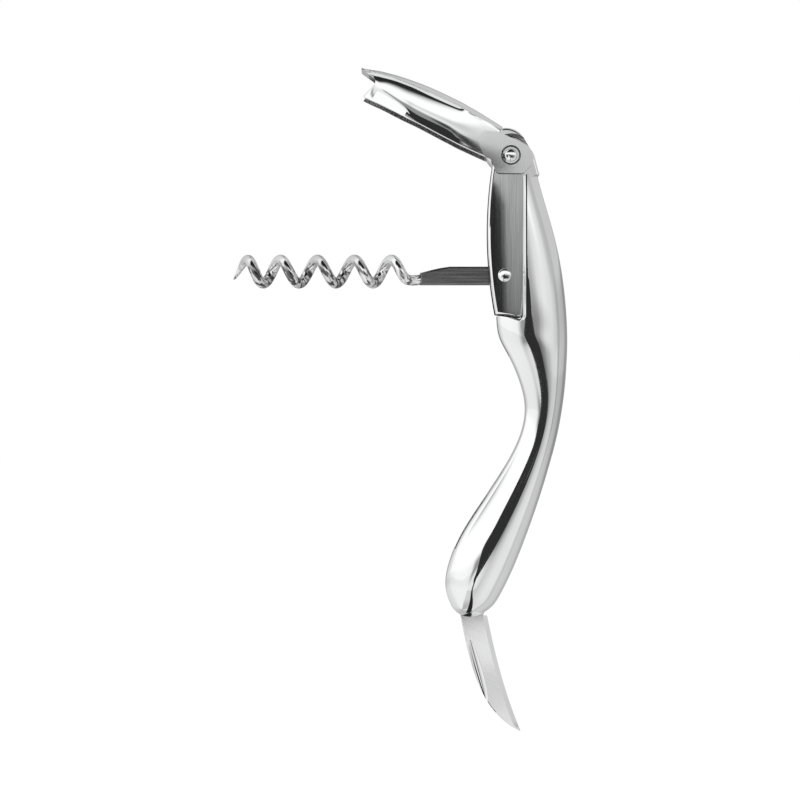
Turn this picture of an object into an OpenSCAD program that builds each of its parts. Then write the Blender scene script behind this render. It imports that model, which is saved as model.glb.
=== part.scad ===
/* Lever corkscrew that folds like a pocket knife, drawn fully open.
   X runs to the back of the handle, Y across the tool and Z up. The near side
   is the one at negative Y. The origin is the middle of the open tool. */

/* [Layout] */
// Distance of the lever pin behind the middle of the open tool
pin_x = 27.5; // [22:0.5:32]
// Height of the lever pin above the middle of the open tool
pin_z = 60.7; // [55:0.5:66]
// Height of the lever pin above the worm rivet
pivot_drop = 29.7; // [28:0.1:31]
// Distance of the worm rivet in front of the lever pin
pivot_setback = 1.5; // [1.2:0.1:1.8]

/* [Handle] */
// Length of the handle from the lever pin down to the end of the bulb
handle_drop = 114.9; // [110:0.5:122]
// Sideways swing of the handle's S curve
handle_sweep = 30.5; // [29:0.5:33]
// Width of the bulb across the tool
bulb_width = 14.8; // [14:0.2:17]
// Radius of the knuckle that shows above the lever's ears
knuckle_r = 5.25; // [5:0.05:5.5]
// Bevel of the knuckle's edges and of the pocket's rim
rim_bevel = 0.6; // [0.3:0.1:0.8]

/* [Frame] */
// Thickness of the folded sheet
sheet = 1.2; // [1:0.1:1.4]
// Width of the folded frame over its two plates
frame_width = 9.7; // [9.4:0.1:10]
// Depth of the frame from the lever pin's axis back to its web
frame_back = 3; // [2.8:0.1:3.4]
// Distance of the frame's lower end below the worm rivet
frame_foot = 10.6; // [10:0.2:12]
// Radius of the bowed front edge of the plates
bow_r = 110; // [90:5:160]

/* [Lever] */
// Length of the lever from its pin to the tip of its hook
lever_length = 42.85; // [41.5:0.25:43.5]
// Width of the lever
lever_width = 13; // [12.6:0.2:14]
// Angle of the open lever above the horizontal
lever_rise = 30; // [26:1:32]
// Thickness of the lever's spine
spine_wall = 1.15; // [0.9:0.05:1.3]

/* [Worm] */
// Outer diameter of the coil
coil_d = 8.5; // [8:0.1:8.8]
// Diameter of the wire
wire_d = 2.6; // [2.2:0.1:2.8]
// Pitch of the coil
coil_pitch = 9.25; // [8.5:0.25:9.5]
// Distance from the rivet to the end of the forged shank
shank_length = 21; // [19:0.5:22]
// Height of the forged shank
shank_height = 4.6; // [4:0.1:4.8]
// Thickness of the forged shank
shank_thick = 3; // [2.6:0.1:3.2]
// Angle that the worm turns to fold
worm_turn = 86; // [84:1:87]

/* [Knife] */
// Length of the knife from its pin to its point
knife_length = 36.6; // [34:0.2:38]
// Thickness of the blade
knife_thick = 1.5; // [1.2:0.1:1.8]
// Angle that the knife turns to fold
knife_turn = 140; // [138:1:141]

/* [Pins] */
// Diameter of the lever pin's shaft
lever_pin_d = 2.6; // [2.2:0.1:2.8]
// Diameter of the worm rivet's shaft
worm_rivet_d = 2.6; // [2.2:0.1:2.8]
// Diameter of the knife pin
knife_pin_d = 2; // [1.8:0.1:2.4]

/* [Hidden] */

// Fineness of round holes and shafts, of bowed edges and of small rounded corners
round_fn = 64;
bow_fn = 180;
hull_fn = 32;

// Clearances: running fits, fixed fits, flat faces side by side, and parts that pass
run_gap = 0.05;
fixed_gap = 0.02;
side_gap = 0.13;
pass_gap = 0.4;
// Overrun of every cut past the material that it goes through
over = 1;
// Reach of a cut that is open to the outside
far_cut = 40;

// Colours of the metals
polished = [0.86, 0.87, 0.88];
brushed = [0.62, 0.63, 0.64];
forged = [0.40, 0.41, 0.42];
satin = [0.72, 0.73, 0.74];

// Main points in side view
pin = [pin_x, 0, pin_z];
rivet = [pin_x - pivot_setback, 0, pin_z - pivot_drop];

// Handle: section rows from the top down. Each row gives the front point and the back point,
// as shares of the sweep behind the pin and of the drop below it, then the width as a share of
// the bulb's width, and how far the front of the ellipse is stretched before a flat nose ends it.
handle_shares = [
    [-0.148, 0.000, 0.193, 0.000, 0.86, 0.30],
    [-0.156, 0.062, 0.262, 0.062, 0.88, 0.30],
    [-0.172, 0.141, 0.344, 0.141, 0.89, 0.30],
    [-0.172, 0.228, 0.412, 0.223, 0.89, 0.35],
    [-0.131, 0.306, 0.451, 0.302, 0.90, 0.45],
    [-0.109, 0.352, 0.465, 0.354, 0.90, 0.55],
    [-0.098, 0.384, 0.469, 0.386, 0.90, 0.60],
    [-0.061, 0.408, 0.469, 0.415, 0.90, 0.60],
    [0.020, 0.443, 0.463, 0.450, 0.87, 0.65],
    [0.090, 0.491, 0.453, 0.493, 0.83, 0.75],
    [0.138, 0.539, 0.433, 0.537, 0.79, 0.85],
    [0.113, 0.589, 0.396, 0.597, 0.78, 0.90],
    [0.041, 0.637, 0.338, 0.656, 0.80, 0.80],
    [-0.072, 0.688, 0.262, 0.726, 0.85, 0.65],
    [-0.224, 0.748, 0.166, 0.800, 0.92, 0.52],
    [-0.378, 0.808, 0.074, 0.865, 0.98, 0.46],
    [-0.488, 0.866, -0.012, 0.919, 1.00, 0.42],
    [-0.531, 0.915, -0.107, 0.965, 0.97, 0.20],
];
// Softness of the flat nose's edges, as a share of half the section
nose_soft_share = 0.22;
// Lowest point of the bulb, and the slopes of the front and of the back line where the rounded end
// starts, as the sweep gained for each length of drop
bulb_pole_shares = [-0.328, 1.000];
end_slopes = [-0.08, -0.65];
// Rings between two rows, rings of the rounded end, points round a section
handle_steps = 3;
end_steps = 7;
// Angle of the last ring of the rounded end, just short of its pole
end_sweep = 89;
handle_points = 36;

// Lever: section rows from the hinge to the hook, as shares of the lever's length: the station,
// the top, the flange's lower edge, the upper and lower ends of the bulge's long flank, the crease
// below the bulge, and the bottom.
lever_shares = [
    [0.124, 0.124, 0.098, 0.080, -0.045, -0.070, -0.083],
    [0.280, 0.130, 0.094, 0.074, -0.060, -0.086, -0.098],
    [0.350, 0.130, 0.093, 0.073, -0.060, -0.090, -0.101],
    [0.414, 0.129, 0.091, 0.067, -0.060, -0.094, -0.104],
    [0.550, 0.119, 0.079, 0.047, -0.066, -0.101, -0.109],
    [0.627, 0.110, 0.073, 0.034, -0.066, -0.090, -0.115],
    [0.700, 0.098, 0.066, 0.020, -0.060, -0.068, -0.119],
    [0.793, 0.079, 0.051, 0.012, -0.050, -0.062, -0.124],
    [0.850, 0.064, 0.037, 0.004, -0.045, -0.066, -0.130],
    [0.890, 0.053, 0.026, -0.008, -0.035, -0.058, -0.133],
    [0.930, 0.038, 0.018, -0.012, -0.034, -0.056, -0.135],
    [1.000, 0.008, 0.004, -0.014, -0.030, -0.052, -0.138],
];
// Half widths on the same rows, as shares of half the lever's width: flange, foot of the groove
// under it, crest of the bulge, crease, and lower edge. The last two numbers are the slopes of the
// bulge's flank at its upper and lower end, which fade out where it runs into the ears.
lever_width_shares = [
    [1.00, 1.000, 1.000, 1.000, 1.000, 0.00, 0.00],
    [1.00, 0.985, 1.000, 0.960, 0.955, 0.08, 0.04],
    [1.00, 0.970, 1.000, 0.920, 0.910, 0.12, 0.06],
    [1.00, 0.890, 1.000, 0.895, 0.885, 0.18, 0.08],
    [1.00, 0.870, 1.000, 0.890, 0.885, 0.21, 0.09],
    [1.00, 0.865, 1.000, 0.925, 0.920, 0.21, 0.09],
    [1.00, 0.865, 1.000, 0.960, 0.960, 0.21, 0.09],
    [0.99, 0.865, 0.985, 0.960, 0.960, 0.21, 0.09],
    [0.98, 0.860, 0.975, 0.955, 0.955, 0.21, 0.09],
    [0.96, 0.840, 0.920, 0.920, 0.920, 0.25, 0.05],
    [0.94, 0.780, 0.900, 0.900, 0.900, 0.30, 0.02],
    [0.88, 0.740, 0.860, 0.860, 0.860, 0.30, 0.02],
];
lever_steps = 4;
// Outline of an ear from the spine round the pin to the underside, as shares of the lever's length
ear_shares = [
    [0.128, 0.080], [-0.055, 0.097], [-0.108, 0.074], [-0.135, 0.024], [-0.115, -0.056],
    [0.012, -0.128], [0.036, -0.120], [0.058, -0.102], [0.076, -0.086], [0.098, -0.079],
    [0.126, -0.083], [0.185, -0.045], [0.215, -0.005], [0.205, 0.045],
];
// Notch for the bottle's lip, as shares of the lever's length: hook, root, jaw face
notch_shares = [[1.03, 0.0035], [0.917, -0.008], [0.8915, -0.049], [0.9115, -0.124]];
// Root radius of the notch and its place
notch_root_r = 1.2;
notch_root_shares = [0.917, -0.0362];
// Inside of the lever: roof line as shares of the lever's length, near the hook
roof_end_shares = [0.885, 0.018];
roof_margin_share = 0.03;
// Crowned cap above the flange's lower edge: places across it as shares of its half width, and the
// power that its height falls with; then the small lip at the flange's lower edge
cap_shares = [0.5, 0.75, 0.88, 0.96];
cap_power = 5;
flange_lip = 0.12;
// Points on each rounding of the bulge, and height of its crest as a share of the flank
bulge_steps = 3;
crest_share = 0.3;
ear_wall = (lever_width - frame_width) / 2 - side_gap;

// Knuckle: middle of its arc as shares of its radius from the lever pin, and where its back meets the body
knuckle_shares = [-0.217, 0.317];
knuckle_back_shares = [[1.12, 0.02], [1.25, -0.52], [1.36, -0.90], [0.60, -1.05]];
// Gap of the knuckle to the spine's end, and radius about the pin that the spine clears
stop_gap = 0.1;
spine_end = lever_shares[0][0] * lever_length;
spine_inner = lever_shares[0][1] * lever_length - spine_wall;
knuckle_clear_r = norm([spine_end, spine_inner]) - pass_gap;
// Distance of the body's shoulder from the lever pin, past the ears, and its slope
ear_reach = norm(ear_shares[3]) * lever_length;
shoulder_angle = -51;

// Frame: edges in side view
web_x = pin_x + frame_back;
plate_top_r = 5.1;
frame_low_z = rivet[2] - frame_foot;
// The plates' front edge bows furthest to the front at this place below and before the pin
bow_peak_drop = 18.9;
bow_peak_front = 5.7;
// Slope and corner of the plates' lower end, and gap to the pocket's floor
foot_slope = 9;
foot_corner_r = 1;
corner_steps = 8;
foot_gap = 0.3;
web_top_drop = 6.6;
// Screws through the web
screw_d = 2;
screw_head_d = 3.8;
screw_length = 5.5;
screw_head_depth = 0.9;
screw_drops = [13, 35.5];

// Worm
worm_rise = 1.1;
coil_turns = 4.36;
coil_overturn = 0.28;
tip_turn_share = 0.28;
tip_blunt_share = 0.08;
tip_settle_turns = 1.5;
tip_taper_turns = 0.55;
ring_steps = 20;
wire_sides = 12;
eye_r = 2.9;
wire_seat_drop = 0.95;
bend_length = 4.6;
bend_steps = 9;
shank_taper = 7.4;
shank_taper_shares = [0.4, 0.65];
shank_tail_height = 3;
// Rise of the groove's floor under the folded worm's point, and the length over which it rises
groove_end_rise = 2.3;
groove_end_length = 8.4;

// Pins, heads, washers and spacers
dome_d = 3.2;
dome_height = 0.7;
dome_steps = 6;
rivet_head_d = 3.3;
rivet_head_height = 0.4;
counterbore_d = 4.9;
counterbore_depth = 0.9;
washer_d = 4.4;
washer_thick = 0.6;
spacer_d = 4.4;
knife_washer_d = 4.6;
knife_washer_thick = 0.4;
blind_wall = 2.2;
pin_flush = 0.9;

// Knife: outline as shares of its length from its pin, at rest pointing down
knife_edge_shares = [[0.049, -0.177], [0.142, -0.644], [0.276, -0.961]];
knife_spine_shares = [[-0.136, -0.171], [-0.076, -0.476], [-0.014, -0.829], [0.274, -0.964]];
knife_pin_shares = [-0.246, 0.941];
knife_pin_width_share = 0.94;
knife_slot_share = 0.3;
knife_root_r = 3.4;
knife_bevel = 1.1;
knife_bevel_share = 0.6;
knife_edge_thick = 0.15;
knife_steps = 16;
nick_shares = [[-0.070, -0.340], [0.048, -0.781]];
nick_width = 1.3;
nick_depth = 0.3;
slot_width = knife_thick + 2 * knife_washer_thick + 2 * run_gap;
knife_pin_at = [pin_x + knife_pin_shares[0] * handle_sweep, 0, pin_z - knife_pin_shares[1] * handle_drop];

// Curves and lofts

function flat(lists) = [for (list = lists) each list];

// Smooth curve through rows of numbers
function eased(a, b, c, d, t) =
    0.5 * (2 * b + (c - a) * t + (2 * a - 5 * b + 4 * c - d) * t * t + (3 * b - a - 3 * c + d) * t * t * t);

function row_at(rows, i) = rows[max(0, min(len(rows) - 1, i))];

function smooth_rows(rows, steps) = [
    for (i = [0 : len(rows) - 2])
        for (k = [0 : steps - 1])
            eased(row_at(rows, i - 1), rows[i], rows[i + 1], row_at(rows, i + 2), k / steps),
    rows[len(rows) - 1]
];

function turned(p, a) = [p[0] * cos(a) - p[1] * sin(a), p[0] * sin(a) + p[1] * cos(a)];

// Point of a Bezier curve, by halving the list of controls
function bezier(p, t) = len(p) == 1
    ? p[0]
    : bezier([for (i = [0 : len(p) - 2]) p[i] * (1 - t) + p[i + 1] * t], t);

// Skin over rings of equally many points, closed by a cap at each end
module skin(rings) {
    n = len(rings[0]);
    last = len(rings) - 1;
    sides = [
        for (i = [0 : last - 1])
            for (k = [0 : n - 1])
                let (a = i * n + k, b = i * n + (k + 1) % n)
                    each [[a, b, b + n], [a, b + n, a + n]]
    ];
    first_cap = [for (k = [n - 1 : -1 : 0]) k];
    last_cap = [for (k = [0 : n - 1]) last * n + k];
    polyhedron(points = flat(rings), faces = concat(sides, [first_cap, last_cap]), convexity = 6);
}

// Side views drawn in X and Z, made solid across the tool

module across(width, middle = 0) {
    translate([0, middle + width / 2, 0]) rotate([90, 0, 0]) linear_extrude(width, convexity = 4) children();
}

module cross_round(d, width, middle = 0) {
    across(width, middle) circle(d = d, $fn = round_fn);
}

// Round piece on an axis across the tool: outline in radius and distance from the middle plane
module cross_turned(outline) {
    rotate([90, 0, 0]) rotate_extrude($fn = round_fn) polygon(outline);
}

module at_lever(turn = 0) {
    translate(pin) rotate([0, lever_rise - turn, 0]) children();
}

module at_worm(turn = 0) {
    translate(rivet) rotate([0, -turn, 0]) children();
}

module at_knife(turn = 0) {
    translate(knife_pin_at) rotate([0, -turn, 0]) children();
}

// Handle

// Smooth limit of a share at 1
function held(v, soft) = let (h = max(0, min(1, 0.5 + 0.5 * (v - 1) / soft))) v * (1 - h) + h - soft * h * (1 - h);

// Section between a front point and a back point in side view
function handle_ring(front, back, width, blunt) = [
    for (k = [0 : handle_points - 1])
        let (
            a = 360 * k / handle_points,
            c = cos(a) < 0 ? -held(-cos(a) * (1 + blunt), min(nose_soft_share, blunt)) : cos(a),
            p = (front * (1 - c) + back * (1 + c)) / 2
        )
            [p[0], 0.5 * width * sin(a), p[1]]
];

function handle_point(sweep_share, drop_share) =
    [pin_x + sweep_share * handle_sweep, pin_z - drop_share * handle_drop];

function handle_body_rings() = [
    for (r = smooth_rows(handle_shares, handle_steps))
        handle_ring(handle_point(r[0], r[1]), handle_point(r[2], r[3]), r[4] * bulb_width, r[5])
];

// Quarter of a slanted ellipse from a point that is left at a slope to the pole, where it runs level
function end_point(start, slope, pole, a) =
    let (corner = [pole[0] + slope * (pole[1] - start[1]), start[1]])
        corner + (start - corner) * cos(a) + (pole - corner) * sin(a);

// Rounded end: the last section shrinks while its front and its back point run to the bulb's pole
function handle_end_rings() =
    let (
        r = handle_shares[len(handle_shares) - 1],
        front = handle_point(r[0], r[1]),
        back = handle_point(r[2], r[3]),
        pole = handle_point(bulb_pole_shares[0], bulb_pole_shares[1])
    )
        [
            for (i = [1 : end_steps])
                let (
                    a = end_sweep * i / end_steps,
                    f = end_point(front, end_slopes[0], pole, a),
                    b = end_point(back, end_slopes[1], pole, a)
                )
                    handle_ring(f, b, r[4] * bulb_width * cos(a), r[5])
        ];

// Arc and back corners of the knuckle
module knuckle_outline(inset) {
    translate([pin_x, pin_z]) {
        translate(knuckle_r * knuckle_shares) circle(r = knuckle_r - inset, $fn = hull_fn);
        polygon([for (p = knuckle_back_shares) knuckle_r * p - [inset, 0]]);
    }
}

// Knuckle between the frame's plates, with the shoulder that stops the open lever
module knuckle() {
    full = frame_width - 2 * fixed_gap;
    difference() {
        hull() {
            across(full - 2 * rim_bevel) knuckle_outline(0);
            across(full) knuckle_outline(rim_bevel);
        }
        at_lever() across(lever_width) difference() {
            translate([-far_cut, -far_cut]) square([far_cut - spine_end + stop_gap, 2 * far_cut]);
            circle(r = knuckle_clear_r, $fn = bow_fn);
        }
        for (side = [-1, 1])
            across(sheet + fixed_gap + over, side * (frame_width + over - sheet - fixed_gap) / 2)
                plate_outline(fixed_gap);
    }
}

// Pocket for the frame and the closed lever, with bevelled edges on both sides of the handle
module pocket() {
    rim_half = handle_shares[2][4] * bulb_width / 2 - rim_bevel;
    translate([0, 0, -foot_gap]) {
        across(lever_width + far_cut) foot_outline(0, pin_z + far_cut);
        for (side = [-1, 1])
            hull() {
                across(fixed_gap, side * rim_half) foot_outline(0, pin_z + far_cut);
                across(fixed_gap, side * (rim_half + rim_bevel + over))
                    foot_outline(rim_bevel + over, pin_z + far_cut);
            }
    }
}

// Shoulder beside each ear of the lever
module ear_seat() {
    depth = lever_width;
    for (side = [-1, 1])
        translate([pin_x, side * (frame_width / 2 + depth / 2), pin_z]) rotate([0, -shoulder_angle, 0])
            translate([ear_reach + pass_gap / 2 - far_cut / 2, 0, 0]) cube([far_cut, depth, far_cut], center = true);
}

// Room for the folded worm: slot for the shank, then a round-bottomed groove for the coil, whose
// floor rises under the worm's point and so leaves a wall to the knife's slot
module worm_room() {
    slot = shank_thick + 2 * pass_gap;
    coil_r = coil_d / 2 + pass_gap;
    reach = worm_reach + 2 * pass_gap;
    start = shank_length + bend_length / 2;
    at_worm(worm_turn) {
        translate([-start - bend_length, -slot / 2, -shank_height / 2 - pass_gap])
            cube([start + bend_length + eye_r, slot, far_cut]);
        intersection() {
            union() {
                translate([-reach, 0, worm_rise]) rotate([0, 90, 0])
                    cylinder(r = coil_r, h = reach - start, $fn = round_fn);
                translate([-reach, -coil_r, worm_rise]) cube([reach - start, 2 * coil_r, far_cut]);
            }
            across(2 * coil_d) polygon([
                [-reach, far_cut],
                [-reach, worm_rise - coil_r + groove_end_rise],
                [groove_end_length - reach, worm_rise - coil_r - over],
                [over - start, worm_rise - coil_r - over],
                [over - start, far_cut],
            ]);
        }
    }
}

// Slot for the knife's root and, behind the bulb, for the folded blade
module knife_room() {
    root = knife_root_r + pass_gap;
    edge = [
        for (i = [1 : knife_steps])
            turned(bezier(knife_edge_shares, i / knife_steps) * knife_length, knife_turn) + [-pass_gap, pass_gap]
    ];
    tip = edge[knife_steps - 1];
    low = -knife_length;
    translate([knife_pin_at[0], 0, knife_pin_at[2]]) across(slot_width) {
        circle(r = root, $fn = round_fn);
        polygon(concat([[-root, 0]], edge, [[far_cut, tip[1]], [far_cut, low], [low * knife_slot_share, low]]));
    }
}

module handle() {
    color(polished) difference() {
        union() {
            difference() {
                skin(concat(handle_body_rings(), handle_end_rings()));
                pocket();
                ear_seat();
            }
            knuckle();
        }
        worm_room();
        knife_room();
        translate(pin) cross_round(lever_pin_d + 2 * run_gap, lever_width);
        knife_pin_hole();
        for (drop = screw_drops)
            translate([web_x, 0, pin_z - drop]) rotate([0, 90, 0])
                cylinder(d = screw_d + 2 * fixed_gap, h = screw_length, $fn = round_fn);
    }
}

// Frame of folded sheet

// Everything above the frame's sloping foot and in front of its back, with a round corner between them
module foot_outline(grow, top) {
    middle = [web_x - foot_corner_r, frame_low_z + foot_corner_r];
    r = foot_corner_r + grow;
    corner = [
        for (i = [corner_steps : -1 : 0])
            let (a = -(90 + foot_slope) * i / corner_steps)
                middle + r * [cos(a), sin(a)]
    ];
    front = corner[0] + far_cut * [-cos(foot_slope), sin(foot_slope)];
    polygon(concat([[front[0], top], front], corner, [[middle[0] + r, top]]));
}

module plate_outline(grow) {
    intersection() {
        union() {
            translate([pin_x, pin_z]) circle(r = plate_top_r + grow, $fn = round_fn);
            foot_outline(grow, pin_z);
        }
        translate([pin_x - bow_peak_front + bow_r, pin_z - bow_peak_drop]) circle(r = bow_r + grow, $fn = bow_fn);
        translate([-far_cut + web_x + grow, -far_cut]) square([far_cut, 4 * far_cut]);
    }
}

module frame() {
    inner = frame_width - 2 * sheet;
    color(brushed) difference() {
        across(frame_width) plate_outline(0);
        translate([web_x - sheet - far_cut, -inner / 2, frame_low_z - far_cut]) cube([far_cut, inner, 3 * far_cut]);
        translate([web_x - sheet - over, -inner / 2, pin_z - web_top_drop]) cube([sheet + 2 * over, inner, far_cut]);
        translate(pin) cross_round(lever_pin_d + 2 * run_gap, lever_width);
        translate(rivet) cross_round(worm_rivet_d + 2 * fixed_gap, lever_width);
        for (drop = screw_drops)
            translate([web_x, 0, pin_z - drop]) screw_shape(fixed_gap);
    }
}

// Countersunk screw that points into the handle, its head flush with the web's inner face
module screw_shape(grow) {
    translate([-sheet - grow, 0, 0]) rotate([0, 90, 0]) rotate_extrude($fn = round_fn) polygon([
        [0, 0],
        [screw_head_d / 2 + grow, 0],
        [screw_d / 2 + grow, screw_head_depth],
        [screw_d / 2 + grow, sheet + screw_length - over + grow],
        [0, sheet + screw_length - over + grow],
    ]);
}

module frame_screw(drop) {
    color(satin) translate([web_x, 0, pin_z - drop]) screw_shape(0);
}

module frame_screw_upper() {
    frame_screw(screw_drops[0]);
}

module frame_screw_lower() {
    frame_screw(screw_drops[1]);
}

// Lever, drawn with its pin at the origin and its hook pointing to the front

// Half section from the top's middle down one side. The bulge has a long, slightly bowed flank
// that rounds off above into the groove under the flange and below into the crease.
function lever_half(p, w) =
    let (
        h = [for (v = p) v * lever_length],
        wide = [for (v = w) v * lever_width / 2],
        cap = h[1] - h[2] - flange_lip,
        upper = w[5],
        lower = w[6],
        crest = h[4] + (h[3] - h[4]) * crest_share,
        high = wide[2] - upper * (h[3] - crest) / 2,
        low = wide[2] - lower * (crest - h[4]) / 2,
        above = h[2] - h[3],
        below = h[4] - h[5],
        above_bend = high - wide[1] - upper * above,
        below_bend = low - wide[3] - lower * below
    )
        concat(
            [
                for (t = cap_shares) [wide[0] * t, h[1] - cap * pow(t, cap_power)],
                [wide[0], h[2] + flange_lip],
                [wide[0] - flange_lip, h[2]],
            ],
            [
                for (i = [bulge_steps : -1 : 0])
                    let (t = i / bulge_steps)
                        [high - upper * above * t - above_bend * t * t, h[3] + above * t]
            ],
            [[wide[2], crest]],
            [
                for (i = [0 : bulge_steps])
                    let (t = i / bulge_steps)
                        [low - lower * below * t - below_bend * t * t, h[4] - below * t]
            ],
            [[wide[4], h[6]]]
        );

function lever_ring(p, w) =
    let (side = lever_half(p, w), n = len(side), x = -p[0] * lever_length)
        concat(
            [[x, 0, p[1] * lever_length]],
            [for (k = [0 : n - 1]) [x, side[k][0], side[k][1]]],
            [for (k = [n - 1 : -1 : 0]) [x, -side[k][0], side[k][1]]]
        );

module lever_skin() {
    rows = smooth_rows(lever_shares, lever_steps);
    widths = smooth_rows(lever_width_shares, lever_steps);
    skin([for (i = [len(rows) - 1 : -1 : 0]) lever_ring(rows[i], widths[i])]);
}

function lever_side(shares) = [-shares[0] * lever_length, shares[1] * lever_length];

module ear_outline() {
    polygon([for (p = ear_shares) lever_side(p)]);
}

// Hollow under the spine, open to the underside and between the two jaws
module lever_hollow() {
    inner = lever_width - 2 * ear_wall;
    roof = [
        for (p = smooth_rows(lever_shares, 2))
            if (p[0] < roof_end_shares[0] - roof_margin_share) [-p[0] * lever_length, p[1] * lever_length - spine_wall]
    ];
    across(inner) polygon(concat(
        [[far_cut, roof[0][1]]],
        roof,
        [lever_side(roof_end_shares), [-lever_length, -notch_root_r], [-lever_length, -far_cut], [far_cut, -far_cut]]
    ));
}

// Room inside the walls for the worm rivet's heads, along their way into the closed lever
module rivet_relief() {
    path_r = norm([pivot_setback, pivot_drop]);
    half = rivet_head_d / 2 + pass_gap;
    depth = frame_width + 2 * rivet_head_height + 2 * pass_gap;
    rotate([90, 0, 0]) rotate_extrude($fn = bow_fn)
        translate([path_r - half, -depth / 2]) square([2 * half, depth]);
}

module notch() {
    jaw = lever_side(notch_shares[3]);
    across(lever_width + over) {
        polygon(concat([for (p = notch_shares) lever_side(p)], [[jaw[0], -far_cut], [-2 * far_cut, -far_cut]]));
        translate(lever_side(notch_root_shares)) circle(r = notch_root_r, $fn = round_fn);
    }
}

module lever() {
    color(polished) at_lever() difference() {
        union() {
            lever_skin();
            for (side = [-1, 1])
                across(ear_wall, side * (lever_width - ear_wall) / 2) ear_outline();
        }
        lever_hollow();
        intersection() {
            rivet_relief();
            translate([-far_cut, -far_cut / 2, -far_cut]) cube([far_cut, far_cut, far_cut]);
        }
        notch();
        cross_round(lever_pin_d + 2 * fixed_gap, lever_width + over);
        for (side = [-1, 1])
            cross_round(counterbore_d, 2 * counterbore_depth, side * lever_width / 2);
    }
}

// Pin across the tool with a domed head at each end
module domed_pin(shaft_d, half_length, head_d, head_height) {
    head = [
        for (i = [0 : dome_steps])
            let (a = 90 * i / dome_steps)
                [head_d / 2 * cos(a), half_length + head_height * sin(a)]
    ];
    near_head = [for (i = [dome_steps : -1 : 0]) [head[i][0], -head[i][1]]];
    cross_turned(concat(near_head, [[shaft_d / 2, -half_length], [shaft_d / 2, half_length]], head));
}

module lever_pin() {
    half_length = lever_width / 2 - counterbore_depth + washer_thick;
    color(polished) translate(pin) domed_pin(lever_pin_d, half_length, dome_d, dome_height);
}

module lever_washer(side) {
    seat = lever_width / 2 - counterbore_depth;
    color(satin) translate(pin) difference() {
        cross_round(washer_d, washer_thick, side * (seat + washer_thick / 2));
        cross_round(lever_pin_d + 2 * fixed_gap, 2 * lever_width);
    }
}

module lever_washer_near() {
    lever_washer(-1);
}

module lever_washer_far() {
    lever_washer(1);
}

// Worm, drawn with its rivet at the origin and its point to the front

// Distance that the coil has advanced after a number of turns from the point: the first turns are tighter
function advance(turns) =
    let (t = min(turns, tip_settle_turns))
        coil_pitch * (turns - tip_turn_share * (t - t * t / (2 * tip_settle_turns)));

coil_r_mid = (coil_d - wire_d) / 2;
coil_end_turns = coil_turns + coil_overturn;
worm_reach = shank_length + bend_length + advance(coil_end_turns) + wire_d / 2;

// Middle of the wire in the coil, from the point to the start of the bend
function coil_point(turns) =
    let (a = 360 * (turns - coil_turns))
        [
            -worm_reach + wire_d / 2 + advance(turns),
            -coil_r_mid * sin(a),
            worm_rise + coil_r_mid * cos(a)
        ];

// The wire's end: a bend from the coil into the shank's tail
bend_start = coil_point(coil_end_turns);
bend_dir = coil_point(coil_end_turns + 0.01) - coil_point(coil_end_turns - 0.01);
wire_seat = [-shank_length + over, 0, -wire_seat_drop];
bend_shares = [0.6, 0.7];
bend = [
    bend_start,
    bend_start + bend_dir / norm(bend_dir) * bend_length * bend_shares[0],
    wire_seat - [bend_length * bend_shares[1], 0, 0],
    wire_seat
];

coil_rings = round(coil_end_turns * ring_steps);
wire_path = concat(
    [for (i = [0 : coil_rings - 1]) coil_point(coil_end_turns * i / coil_rings)],
    [for (i = [0 : bend_steps]) bezier(bend, i / bend_steps)]
);

// The wire's radius, and how far the tapered end leans to the outside of the point
function wire_r(i) =
    let (turns = coil_end_turns * i / coil_rings, t = min(1, turns / tip_taper_turns))
        wire_d / 2 * (tip_blunt_share + (1 - tip_blunt_share) * sin(90 * t));
function wire_lean(i) = [wire_r(i) - wire_d / 2, 0, 0];

function unit(v) = v / norm(v);

// Directions along the wire, and a side direction that is carried along without twisting
wire_dirs = [
    for (i = [0 : len(wire_path) - 1])
        unit(wire_path[min(i + 1, len(wire_path) - 1)] - wire_path[max(i - 1, 0)])
];
function across_dir(v, dir) = unit(v - dir * (v * dir));
wire_sides_dir = [
    for (i = 0, v = across_dir([0, 0, 1], wire_dirs[0]); i < len(wire_path);
        i = i + 1, v = i < len(wire_path) ? across_dir(v, wire_dirs[i]) : v)
        v
];

// Least gap between two turns of the wire, measured on its middle points
wire_gap = min([
    for (i = [0 : len(wire_path) - 1])
        for (j = [i + ring_steps / 2 : len(wire_path) - 1])
            norm(wire_path[i] - wire_path[j])
]) - wire_d;
echo(wire_gap = wire_gap);

module wire() {
    skin([
        for (i = [0 : len(wire_path) - 1])
            let (v = wire_sides_dir[i], w = cross(wire_dirs[i], v), r = i < coil_rings ? wire_r(i) : wire_d / 2)
                [
                    for (k = [0 : wire_sides - 1])
                        let (a = -360 * k / wire_sides)
                            wire_path[i] + (i < coil_rings ? wire_lean(i) : [0, 0, 0]) + r * (cos(a) * v + sin(a) * w)
                ]
    ]);
}

// Forged shank with the eye for its rivet
module shank() {
    half = shank_height / 2;
    across(shank_thick) {
        circle(r = eye_r, $fn = round_fn);
        polygon([
            [0, -half],
            [0, half],
            [shank_taper - shank_length, half],
            [shank_taper * shank_taper_shares[0] - shank_length, half * shank_taper_shares[1]],
            [-shank_length, shank_tail_height - half],
            [-shank_length, -half],
        ]);
    }
}

module worm() {
    color(forged) at_worm() difference() {
        union() {
            wire();
            shank();
        }
        cross_round(worm_rivet_d + 2 * run_gap, lever_width);
    }
}

module worm_rivet() {
    color(polished) translate(rivet) domed_pin(worm_rivet_d, frame_width / 2, rivet_head_d, rivet_head_height);
}

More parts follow.
